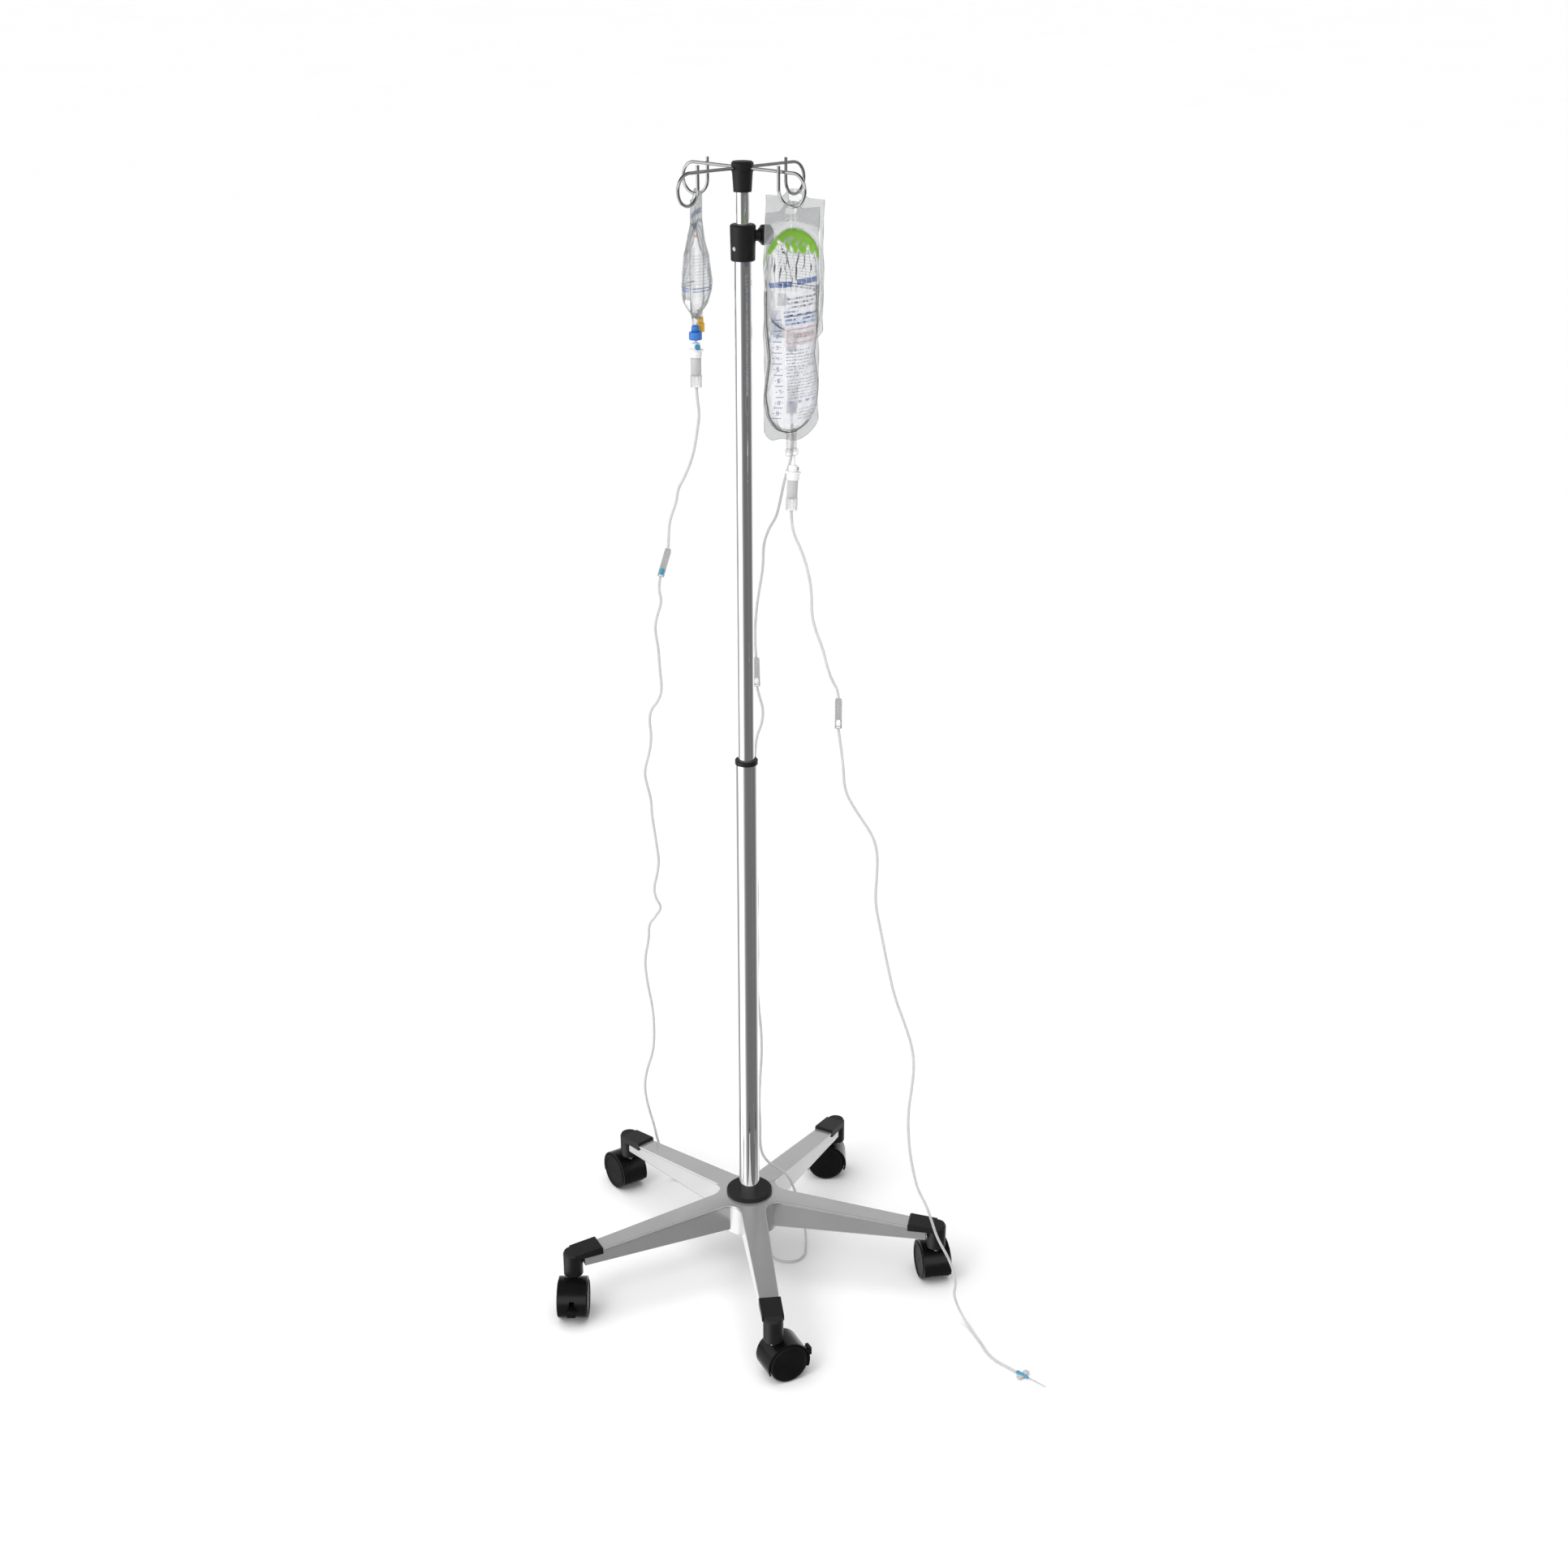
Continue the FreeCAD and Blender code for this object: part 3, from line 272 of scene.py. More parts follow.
def ink_material():
    """Printing ink, also carrying painted highlights: its colour from the mesh, worn thinner here and
    there.
    """
    material, tree, output = new_material("printing_ink")
    shader = node(tree, "ShaderNodeBsdfPrincipled", {"IOR": 1.45})
    ink = node(tree, "ShaderNodeAttribute", attribute_name="ink")
    link(tree, ink.outputs["Color"], shader.inputs["Base Color"])
    link(tree, ranged(tree, noise(tree, 200.0), 0.3, 0.5), shader.inputs["Roughness"])
    through = node(tree, "ShaderNodeBsdfTransparent")
    worn = ranged(tree, noise(tree, 700.0, 3.0), 0.75, 1.0)
    cover = node(tree, "ShaderNodeMath", operation="MULTIPLY")
    link(tree, ink.outputs["Alpha"], cover.inputs[0])
    link(tree, worn, cover.inputs[1])
    whole = mixed(tree, cover.outputs[0], through, shader)
    link(tree, whole.outputs[0], output.inputs["Surface"])
    return material


PRINT_AND_HIGHLIGHT_INK = ink_material()


# ------------------------------------------------------------- making pieces

def cleaned(mesh):
    """Doubled points joined and every face turned outwards."""
    work = bmesh.new()
    work.from_mesh(mesh)
    bmesh.ops.remove_doubles(work, verts=work.verts, dist=1e-7)
    bmesh.ops.recalc_face_normals(work, faces=work.faces)
    work.to_mesh(mesh)
    work.free()


def piece(name, points, faces, material, body, slot, smooth=True, clean=True):
    """A mesh in the frame that rides on a body. An unclean one keeps its points' order."""
    mesh = bpy.data.meshes.new(name)
    mesh.from_pydata([tuple(p) for p in points], [], faces)
    mesh.validate()
    if clean:
        cleaned(mesh)
    for face in mesh.polygons:
        face.use_smooth = smooth
    item = bpy.data.objects.new(name, mesh)
    bpy.context.scene.collection.objects.link(item)
    item.data.materials.append(material)
    if body:
        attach(item, body)
    return item


def frames_along(path):
    """A path's points and two steady cross directions at each of them."""
    path = [Vector(p) for p in path]
    tangents = []
    for index in range(len(path)):
        before, after = path[max(index - 1, 0)], path[min(index + 1, len(path) - 1)]
        tangents.append((after - before).normalized())
    side = tangents[0].orthogonal().normalized()
    found = []
    for tangent in tangents:
        side = (side - tangent * side.dot(tangent)).normalized()
        found.append((side, tangent.cross(side)))
    return path, found


def ring_faces(rings, sides):
    """Faces of a tube of point rings, with both ends covered."""
    faces = []
    for ring in range(rings - 1):
        for step in range(sides):
            after = (step + 1) % sides
            low, high = ring * sides, (ring + 1) * sides
            faces.append((low + step, low + after, high + after, high + step))
    faces.append(tuple(range(sides))[::-1])
    last = (rings - 1) * sides
    faces.append(tuple(last + step for step in range(sides)))
    return faces


def swept(path, radius, sides=14):
    """Points and faces of a round body along a path, with closed ends."""
    path, found = frames_along(path)
    points = []
    for centre, (side, up) in zip(path, found):
        for step in range(sides):
            turn = math.tau * step / sides
            points.append(centre + (side * math.cos(turn) + up * math.sin(turn)) * radius)
    return points, ring_faces(len(path), sides)


def merged(groups):
    """Several (points, faces) pairs as one."""
    points, faces = [], []
    for more_points, more_faces in groups:
        start = len(points)
        points.extend(more_points)
        faces.extend(tuple(start + index for index in face) for face in more_faces)
    return points, faces


# ----------------------------------------------------------------------- cords

TUBE_RADIUS = 0.002

UPPER_ROUTES = {
    "a": [(-0.0676, 0.0652, 1.4016), (-0.067, 0.066, 1.386), (-0.064, 0.069, 1.363),
          (-0.069, 0.072, 1.332), (-0.074, 0.074, 1.304), (-0.086, 0.076, 1.273),
          (-0.097, 0.077, 1.254), (-0.1, 0.078, 1.232), (-0.109, 0.08, 1.21), (-0.112, 0.082, 1.187),
          (-0.1129, 0.083, 1.1625)],
    "b": [(0.065, -0.0697, 1.2606), (0.065, -0.071, 1.246), (0.069, -0.077, 1.228),
          (0.079, -0.081, 1.208), (0.088, -0.086, 1.181), (0.093, -0.09, 1.151),
          (0.093, -0.094, 1.122), (0.098, -0.098, 1.1), (0.109, -0.103, 1.073), (0.115, -0.107, 1.048),
          (0.122, -0.109, 1.028), (0.13, -0.111, 1.016), (0.131, -0.112, 1.0023)],
    "c": [(0.0657, 0.0681, 1.3626), (0.066, 0.067, 1.349), (0.068, 0.066, 1.331),
          (0.067, 0.066, 1.311), (0.063, 0.066, 1.293), (0.057, 0.065, 1.275), (0.053, 0.064, 1.257),
          (0.049, 0.064, 1.237), (0.044, 0.064, 1.216), (0.033, 0.064, 1.199), (0.025, 0.064, 1.175),
          (0.025, 0.065, 1.142), (0.019, 0.065, 1.108), (0.014, 0.065, 1.072), (0.012, 0.065, 1.037),
          (0.014, 0.065, 1.0023)],
}
LOWER_ROUTES = {
    "a": [(-0.1252, 0.086, 1.1215), (-0.129, 0.087, 1.104), (-0.124, 0.088, 1.083),
          (-0.131, 0.09, 1.062), (-0.136, 0.091, 1.041), (-0.131, 0.093, 1.01), (-0.13, 0.095, 0.975),
          (-0.127, 0.097, 0.943), (-0.133, 0.098, 0.924), (-0.144, 0.099, 0.911),
          (-0.148, 0.101, 0.893), (-0.145, 0.104, 0.866), (-0.149, 0.107, 0.837),
          (-0.158, 0.111, 0.806), (-0.155, 0.115, 0.783), (-0.149, 0.119, 0.757),
          (-0.149, 0.124, 0.729), (-0.146, 0.128, 0.703), (-0.143, 0.132, 0.673),
          (-0.14, 0.136, 0.645), (-0.144, 0.139, 0.619), (-0.15, 0.142, 0.595), (-0.147, 0.144, 0.576),
          (-0.138, 0.146, 0.56), (-0.148, 0.148, 0.544), (-0.16, 0.15, 0.528), (-0.16, 0.154, 0.502),
          (-0.169, 0.16, 0.46), (-0.165, 0.167, 0.412), (-0.158, 0.173, 0.366), (-0.157, 0.179, 0.318),
          (-0.16, 0.184, 0.28), (-0.172, 0.189, 0.243), (-0.177, 0.193, 0.208), (-0.172, 0.197, 0.17),
          (-0.163, 0.201, 0.132), (-0.158, 0.206, 0.098), (-0.149, 0.213, 0.068),
          (-0.146, 0.223, 0.04), (-0.145, 0.232, 0.021), (-0.141, 0.238, 0.009),
          (-0.131, 0.238, 0.003), (-0.121, 0.231, 0.002), (-0.112, 0.218, 0.002),
          (-0.098, 0.208, 0.002), (-0.078, 0.206, 0.002), (-0.054, 0.2, 0.002),
          (-0.03, 0.201, 0.002), (-0.006, 0.194, 0.002), (0.016, 0.19, 0.002)],
    "b": [(0.131, -0.113, 0.9595), (0.133, -0.114, 0.945), (0.136, -0.116, 0.924),
          (0.139, -0.118, 0.897), (0.14, -0.118, 0.875), (0.147, -0.12, 0.854), (0.163, -0.121, 0.828),
          (0.182, -0.123, 0.799), (0.189, -0.124, 0.771), (0.188, -0.126, 0.735),
          (0.186, -0.127, 0.697), (0.194, -0.129, 0.657), (0.204, -0.132, 0.606),
          (0.216, -0.134, 0.55), (0.23, -0.136, 0.511), (0.243, -0.138, 0.472), (0.248, -0.139, 0.437),
          (0.245, -0.141, 0.398), (0.24, -0.142, 0.358), (0.242, -0.145, 0.305),
          (0.249, -0.147, 0.262), (0.257, -0.149, 0.228), (0.27, -0.15, 0.203), (0.278, -0.151, 0.179),
          (0.288, -0.154, 0.146), (0.305, -0.158, 0.115), (0.315, -0.16, 0.089), (0.319, -0.16, 0.066),
          (0.316, -0.16, 0.047), (0.321, -0.161, 0.031), (0.328, -0.166, 0.016),
          (0.337, -0.178, 0.005), (0.345, -0.197, 0.002), (0.354, -0.221, 0.002),
          (0.361, -0.245, 0.002), (0.372, -0.264, 0.002), (0.388, -0.279, 0.002),
          (0.402, -0.292, 0.002)],
    "c": [(0.015, 0.065, 0.9595), (0.018, 0.065, 0.944), (0.024, 0.065, 0.925), (0.023, 0.065, 0.902),
          (0.014, 0.065, 0.88), (0.011, 0.065, 0.851), (0.013, 0.066, 0.815), (0.011, 0.065, 0.77),
          (0.014, 0.064, 0.721), (0.012, 0.065, 0.671), (0.015, 0.066, 0.622), (0.013, 0.065, 0.572),
          (0.015, 0.064, 0.522), (0.013, 0.065, 0.473), (0.015, 0.066, 0.427), (0.019, 0.065, 0.386),
          (0.02, 0.065, 0.345), (0.017, 0.064, 0.3), (0.015, 0.063, 0.256), (0.017, 0.062, 0.215),
          (0.016, 0.061, 0.183), (0.02, 0.06, 0.16), (0.031, 0.059, 0.145), (0.045, 0.057, 0.138),
          (0.059, 0.054, 0.129), (0.069, 0.051, 0.111), (0.076, 0.049, 0.087), (0.083, 0.05, 0.062),
          (0.088, 0.052, 0.038), (0.091, 0.046, 0.015), (0.091, 0.031, 0.003), (0.089, 0.012, 0.002),
          (0.08, -0.003, 0.002), (0.064, -0.009, 0.002), (0.046, -0.005, 0.002), (0.034, 0.008, 0.002),
          (0.028, 0.028, 0.002), (0.025, 0.05, 0.002), (0.019, 0.074, 0.002), (0.018, 0.1, 0.002),
          (0.012, 0.124, 0.002), (0.01, 0.146, 0.002)],
}


def spline_path(name, route):
    """Points along the smooth line of a route: a NURBS spline on its control points."""
    data = bpy.data.curves.new(name + "_line", "CURVE")
    data.dimensions = "3D"
    data.resolution_u = 8
    spline = data.splines.new("NURBS")
    spline.points.add(len(route) - 1)
    for point, place in zip(spline.points, route):
        point.co = (*place, 1.0)
    spline.order_u = 3
    spline.use_endpoint_u = True
    line = bpy.data.objects.new(name + "_line", data)
    bpy.context.scene.collection.objects.link(line)
    mesh = bpy.data.meshes.new_from_object(line)
    path = [tuple(vertex.co) for vertex in mesh.vertices]
    bpy.data.objects.remove(line)
    return path


def tubing(name, route, node_name):
    """A drip line along the smooth line of its route, in place of its CAD node."""
    path = spline_path(name, route)
    points, faces = swept(path, TUBE_RADIUS)
    item = piece(name, points, faces, TUBING, None, "tubing")
    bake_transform(item)
    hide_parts(node_name)
    return item, path


for letter in "abc":
    tubing("line_%s_upper" % letter, UPPER_ROUTES[letter],
                                    "tube_%s_upper" % letter)
    tubing("line_%s_lower" % letter, LOWER_ROUTES[letter],
                                    "tube_%s_lower" % letter)


# ------------------------------------------------------------- floor and light

FLOOR_REACH = 90.0
FLOOR_DROP = 0.0006


def make_floor():
    material, tree, output = new_material("studio_floor")
    shader = node(tree, "ShaderNodeBsdfPrincipled", {"Roughness": 0.9})
    shader.inputs["Specular IOR Level"].default_value = 0.1
    tone = ramp(tree, noise(tree, 0.6), [(0.3, grey(0.9)), (0.7, grey(0.91))])
    link(tree, tone, shader.inputs["Base Color"])
    link(tree, shader.outputs[0], output.inputs["Surface"])
    corners = [(x * FLOOR_REACH, y * FLOOR_REACH, 0) for x, y in
               ((-1, -1), (1, -1), (1, 1), (-1, 1))]
    mesh = bpy.data.meshes.new("floor")
    mesh.from_pydata(corners, [], [(0, 1, 2, 3)])
    mesh.materials.append(material)
    floor = bpy.data.objects.new("floor", mesh)
    bpy.context.scene.collection.objects.link(floor)
    floor.location = (0.0, 0.0, -FLOOR_DROP)
    floor.visible_glossy = False
    floor.visible_transmission = False


# Studio brightness by direction round the object, as shares of the strongest: a white
# wall on the left, the unlit side of the room and a white wall behind the object.
WALL_STOPS = [(0.0, 0.72), (0.075, 0.72), (0.12, 0.3), (0.215, 0.22), (0.232, 1.0),
              (0.372, 1.0), (0.41, 0.4), (0.45, 0.14), (0.5, 0.105), (0.76, 0.105),
              (0.82, 0.3), (0.87, 0.7), (1.0, 0.72)]
# The same for light from above the walls.
SKY_STOPS = [(0.0, 0.31), (0.14, 0.29), (0.24, 0.6), (0.40, 0.8), (0.60, 0.7), (0.72, 0.3),
             (0.88, 0.33), (1.0, 0.31)]
ZENITH = 0.05
WORLD_STRENGTH = 1.6
SKY_FULL_FROM = 0.14
ZENITH_BAND = (0.785, 0.875)


def make_world():
    """Studio light by direction, behind a plain pale backdrop."""
    world = bpy.data.worlds.new("studio")
    world.use_nodes = True
    bpy.context.scene.world = world
    tree = world.node_tree
    tree.nodes.clear()
    output = tree.nodes.new("ShaderNodeOutputWorld")
    place = tree.nodes.new("ShaderNodeTexCoord")
    parts = tree.nodes.new("ShaderNodeSeparateXYZ")
    link(tree, place.outputs["Generated"], parts.inputs[0])
    flip = node(tree, "ShaderNodeMath", {1: -1.0}, operation="MULTIPLY")
    link(tree, parts.outputs["Y"], flip.inputs[0])
    turn = node(tree, "ShaderNodeMath", operation="ARCTAN2")
    link(tree, parts.outputs["X"], turn.inputs[0])
    link(tree, flip.outputs[0], turn.inputs[1])
    share = ranged(tree, turn.outputs[0], 0.0, 1.0, -math.pi, math.pi)
    walls = ramp(tree, share, [(at, grey(value)) for at, value in WALL_STOPS])
    height = ranged(tree, parts.outputs["Z"], 0.0, 1.0, -1.0, 1.0)
    sky = ramp(tree, share, [(at, grey(value)) for at, value in SKY_STOPS])
    top = ramp(tree, height, [(ZENITH_BAND[0], grey(0.0)), (ZENITH_BAND[1], grey(1.0))])
    above = ranged(tree, parts.outputs["Z"], 0.0, 1.0, 0.0, SKY_FULL_FROM)
    lower = node(tree, "ShaderNodeMix", data_type="RGBA")
    link(tree, above, lower.inputs["Factor"])
    link(tree, walls, lower.inputs[6])
    link(tree, sky, lower.inputs[7])
    whole = node(tree, "ShaderNodeMix", data_type="RGBA")
    link(tree, top, whole.inputs["Factor"])
    link(tree, lower.outputs[2], whole.inputs[6])
    whole.inputs[7].default_value = (*grey(ZENITH), 1.0)
    light = node(tree, "ShaderNodeBackground", {"Strength": WORLD_STRENGTH})
    link(tree, whole.outputs[2], light.inputs["Color"])
    backdrop = node(tree, "ShaderNodeBackground", {"Color": (*grey(1.0), 1.0)})
    ray = node(tree, "ShaderNodeLightPath")
    either = mixed(tree, ray.outputs["Is Camera Ray"], light, backdrop)
    link(tree, either.outputs[0], output.inputs["Surface"])


KEY_PLACE = Vector((-1.6, -2.2, 2.6))
KEY_TARGET = Vector((0.0, 0.0, 1.1))


def add_lamp(kind, light, place, turn):
    """A light that shows in no reflection."""
    lamp = bpy.data.objects.new(kind, light)
    lamp.location = place
    lamp.rotation_euler = turn
    lamp.visible_glossy = False
    bpy.context.scene.collection.objects.link(lamp)


def make_lights():
    """A broad, soft light overhead and a key light from the front left."""
    sun = bpy.data.lights.new("overhead", "SUN")
    sun.energy = 2.35
    sun.angle = math.radians(75)
    add_lamp("overhead", sun, (0.0, 0.0, 0.0), (math.radians(8), math.radians(-10), 0.0))
    key = bpy.data.lights.new("key", "AREA")
    key.shape = "RECTANGLE"
    key.size, key.size_y = 1.0, 1.6
    key.energy = 22.0
    aim = (KEY_TARGET - KEY_PLACE).to_track_quat("-Z", "Y").to_euler()
    add_lamp("key", key, KEY_PLACE, aim)


make_floor()
make_world()
make_lights()
bpy.context.scene.view_settings.view_transform = "Standard"


# ------------------------------------------------------- finishes of CAD parts

FINISHES = {
    "cast_aluminium": CAST, "chrome_tube": CHROME, "chrome_wire": WIRE,
    "black_plastic": BLACK, "caster_plastic": CASTER, "steel": STEEL, "bag_film": CLEAR,
    "port_cap": BLUE, "chamber": FROSTED, "tubing": TUBING, "connector": WHITE,
    "clamp_shell": SHELL, "roller": TEAL, "cannula": TEAL,
}


def dress_nodes():
    """Each CAD node's slots take the finish of their name; the wheels' is the tread."""
    for item in NODES.values():
        for place in item.material_slots:
            place.material = FINISHES[place.material.name.split(".")[0]]
    for name, item in NODES.items():
        if name.startswith("caster_wheels"):
            item.material_slots[0].material = TREAD


dress_nodes()


# ------------------------------------------------------------------- drip bags

WIRE_HEIGHT = 1.666
# Each bag: the point of its hook that it hangs on, the way it faces, its film's size, and
# its filled part as (drop, share of half-width, share of half-depth).
BAGS = {
    "a": {"pivot": (-0.06504, 0.06968), "facing": 79.0, "width": 0.084, "seam": 0.168,
          "depth": 0.040,
          "sections": [(0.026, 0.70, 0.02), (0.040, 0.86, 0.24), (0.054, 0.86, 0.48),
                       (0.066, 0.86, 0.64), (0.080, 0.88, 0.83), (0.106, 0.88, 0.98),
                       (0.119, 0.88, 1.0), (0.132, 0.86, 0.92), (0.145, 0.80, 0.70),
                       (0.155, 0.64, 0.44), (0.163, 0.36, 0.20)]},
    "b": {"pivot": (0.06504, -0.06968), "facing": 42.0, "width": 0.100, "seam": 0.306,
          "depth": 0.042,
          "sections": [(0.040, 0.70, 0.02), (0.050, 0.88, 0.10), (0.084, 0.88, 0.40),
                       (0.150, 0.86, 0.80), (0.196, 0.74, 0.92), (0.240, 0.90, 1.0),
                       (0.268, 0.80, 0.86), (0.284, 0.58, 0.58), (0.294, 0.30, 0.24)]},
    "c": {"pivot": (0.06968, 0.06504), "facing": -37.0, "width": 0.100, "seam": 0.200,
          "depth": 0.038,
          "sections": [(0.038, 0.70, 0.02), (0.046, 0.88, 0.10), (0.072, 0.88, 0.42),
                       (0.110, 0.90, 0.84), (0.150, 0.90, 1.0), (0.174, 0.78, 0.74),
                       (0.186, 0.36, 0.24)]},
}
FILM_HALF = 0.00035
FILM_EDGE = 0.0012
FILM_COLUMNS = 45
ROW_STEP = 0.0026
SMOOTH_SAMPLES, SMOOTH_REACH = 400, 9
TOP_DROP = 0.004
# The raised middle of each bag's top edge, round its slot: height and half-width.
TAB_RISE, TAB_HALF = 0.011, 0.0165
CORNER_LIFT = 0.020
# Gathers of each bag's film: place across, top and bottom drop, half-width and height.
PLEATS = {
    "a": [(-0.022, 0.034, 0.085, 0.0045, 0.0030), (-0.006, 0.030, 0.080, 0.0050, 0.0034),
          (0.010, 0.034, 0.090, 0.0045, 0.0030), (0.025, 0.036, 0.078, 0.0040, 0.0026),
          (-0.018, 0.128, 0.166, 0.0040, 0.0024), (0.000, 0.132, 0.166, 0.0040, 0.0026),
          (0.017, 0.128, 0.166, 0.0040, 0.0022)],
    "b": [(-0.040, 0.058, 0.122, 0.0032, 0.0042), (-0.030, 0.050, 0.116, 0.0026, 0.0034),
          (-0.022, 0.042, 0.124, 0.0034, 0.0050), (-0.011, 0.056, 0.118, 0.0028, 0.0038),
          (0.000, 0.048, 0.126, 0.0030, 0.0044), (0.009, 0.060, 0.118, 0.0024, 0.0034),
          (0.018, 0.054, 0.128, 0.0032, 0.0042), (0.030, 0.044, 0.124, 0.0034, 0.0048),
          (0.040, 0.062, 0.116, 0.0026, 0.0034), (-0.030, 0.262, 0.300, 0.0040, 0.0020),
          (-0.012, 0.270, 0.304, 0.0045, 0.0022), (0.012, 0.270, 0.304, 0.0045, 0.0022),
          (0.029, 0.264, 0.300, 0.0040, 0.0020)],
    "c": [(-0.036, 0.048, 0.100, 0.0045, 0.0028), (-0.018, 0.042, 0.098, 0.0050, 0.0032),
          (0.000, 0.050, 0.104, 0.0045, 0.0026), (0.017, 0.044, 0.100, 0.0050, 0.0030),
          (0.035, 0.050, 0.096, 0.0040, 0.0026), (-0.020, 0.164, 0.192, 0.0040, 0.0020),
          (0.018, 0.164, 0.192, 0.0040, 0.0020)],
}
# Greys of the film, each with how far it covers what is behind.
HEADER_INK = (0.44, 0.46, 0.46, 0.34)
BODY_INK = (0.85, 0.86, 0.87, 0.02)
SEAM_INK = (0.40, 0.42, 0.42, 0.28)


def wave(values, height, pace, phase):
    """A sine ripple."""
    return height * np.sin(values * pace + phase)


def hump(values, middle, reach):
    """A bell, 1 high."""
    return np.exp(-((values - middle) / reach) ** 2)


def to_frame(letter, x, y, drop):
    """A point of a bag's own plane (across, towards its back, down) in the frame."""
    bag = BAGS[letter]
    turn = math.radians(bag["facing"])
    return Vector((bag["pivot"][0] + x * math.cos(turn) - y * math.sin(turn),
                   bag["pivot"][1] + x * math.sin(turn) + y * math.cos(turn),
                   WIRE_HEIGHT - drop))


def bladder_size(letter, drops):
    """Half-width and half-depth of the filled part at each drop, smoothed."""
    bag = BAGS[letter]
    at, wide, deep = (np.array(row) for row in zip(*bag["sections"]))
    even = np.linspace(0.0, bag["seam"], SMOOTH_SAMPLES)
    window = np.hanning(2 * SMOOTH_REACH + 1)
    window /= window.sum()
    found = []
    for shares, whole in ((wide, bag["width"] / 2), (deep, bag["depth"] / 2)):
        values = np.interp(even, at, shares * whole, left=0.0, right=0.0)
        values = np.pad(values, SMOOTH_REACH, mode="edge")
        values = np.convolve(values, window, mode="valid")
        found.append(np.interp(drops, even, values))
    return found


def film_edges(letter, x_share):
    """Top and bottom drop of the film at each share of its half-width."""
    bag = BAGS[letter]
    x = x_share * bag["width"] / 2
    top = TOP_DROP - TAB_RISE * np.exp(-(np.abs(x) / TAB_HALF) ** 4)
    low = bag["seam"] - CORNER_LIFT * np.abs(x_share) ** 5 + wave(x_share, 0.003, 5.2, 0.6)
    return top, low


def film_grid(letter, side):
    """Points of the front (-1) or back (+1) film, rows from the top, and their drops."""
    bag = BAGS[letter]
    rows = int(bag["seam"] / ROW_STEP)
    share = np.linspace(-1.0, 1.0, FILM_COLUMNS)
    top, low = film_edges(letter, share)
    down = np.linspace(0.0, 1.0, rows)[:, None]
    drop = top[None, :] + down * (low - top)[None, :]
    half = bag["width"] / 2
    waver = wave(drop, 0.0009, 61.0, 1.3) + wave(drop, 0.0005, 143.0, side)
    x = share[None, :] * (half - FILM_EDGE) + waver * share[None, :] ** 2
    wide, deep = bladder_size(letter, drop.ravel())
    wide, deep = wide.reshape(drop.shape), deep.reshape(drop.shape)
    inside = np.clip(1.0 - (x / np.maximum(wide, 1e-6)) ** 2, 0.0, 1.0)
    swell = deep * inside ** 0.62
    crease = np.zeros_like(x)
    for place, start, end, reach, height in PLEATS[letter]:
        along = np.clip((drop - start) / (end - start), 0.0, 1.0)
        bell = hump(x, place, reach * (0.25 + 0.75 * along))
        crease += side * height * bell * np.sin(math.pi * along ** 0.8) * (0.7 + 0.3 * side)
    ripple = wave(x, 0.0005, 310.0, drop * 90.0) * np.sin(drop * 200.0 + x * 60.0)
    bend = wave(x, 0.0022, 46.0, 0.8) * hump(drop, 0.018, 0.035)
    bend += wave(x, 0.0016, 60.0, 2.0) * hump(drop, bag["seam"], 0.02)
    y = side * (swell + FILM_HALF) + crease * np.sign(inside) + ripple * inside + bend
    return x, y, drop, inside


def depth_axis(letter):
    """The direction from a bag's front to its back."""
    turn = math.radians(BAGS[letter]["facing"])
    return np.array((-math.sin(turn), math.cos(turn), 0.0))


SETTLE_FRAMES = 16
SETTLE_LIMIT = 0.0035
# Share of the settling kept down each bag: loose gathers on top, a taut belly below.
SETTLE_SHARE = ((0.34, 0.50), (1.0, 0.22))
SETTLE_FILM = {"quality": 5, "mass": 0.05, "tension_stiffness": 30.0,
               "compression_stiffness": 30.0, "shear_stiffness": 12.0,
               "bending_stiffness": 0.02, "shrink_min": -0.05, "use_pressure": True,
               "uniform_pressure_force": 0.6, "vertex_group_mass": "held"}


def settle(sheets, inside, down):
    """Fill the bladder by a short cloth simulation, with its header and welds held."""
    rows, columns = inside.shape
    points, faces = hemmed(sheets, np.ones((rows - 1, columns - 1), bool))
    mesh = bpy.data.meshes.new("settling")
    mesh.from_pydata([tuple(p) for p in points], [], faces)
    item = bpy.data.objects.new("settling", mesh)
    bpy.context.scene.collection.objects.link(item)
    held = item.vertex_groups.new(name="held")
    grip = np.clip(1.0 - inside.ravel() * 3.0, 0.0, 1.0)
    for index, weight in enumerate(np.concatenate((grip, grip))):
        held.add([index], float(weight), "REPLACE")
    cloth = item.modifiers.new("settle", "CLOTH")
    for name, value in SETTLE_FILM.items():
        setattr(cloth.settings, name, value)
    cloth.collision_settings.use_collision = False
    cloth.point_cache.frame_end = SETTLE_FRAMES
    for frame_number in range(1, SETTLE_FRAMES + 1):
        bpy.context.scene.frame_set(frame_number)
    shaped = item.evaluated_get(bpy.context.evaluated_depsgraph_get())
    found = np.array([tuple(vertex.co) for vertex in shaped.data.vertices])
    start = np.array([tuple(p) for p in points])
    bpy.data.objects.remove(item)
    bpy.context.scene.frame_set(1)
    moved = found - start
    kept = np.interp(down.ravel(), *SETTLE_SHARE)
    moved *= np.concatenate((kept, kept))[:, None]
    far = np.linalg.norm(moved, axis=1, keepdims=True)
    moved *= np.minimum(1.0, SETTLE_LIMIT / np.maximum(far, 1e-9))
    settled = start + moved
    half = rows * columns
    return [settled[:half].reshape(rows, columns, 3), settled[half:].reshape(rows, columns, 3)]


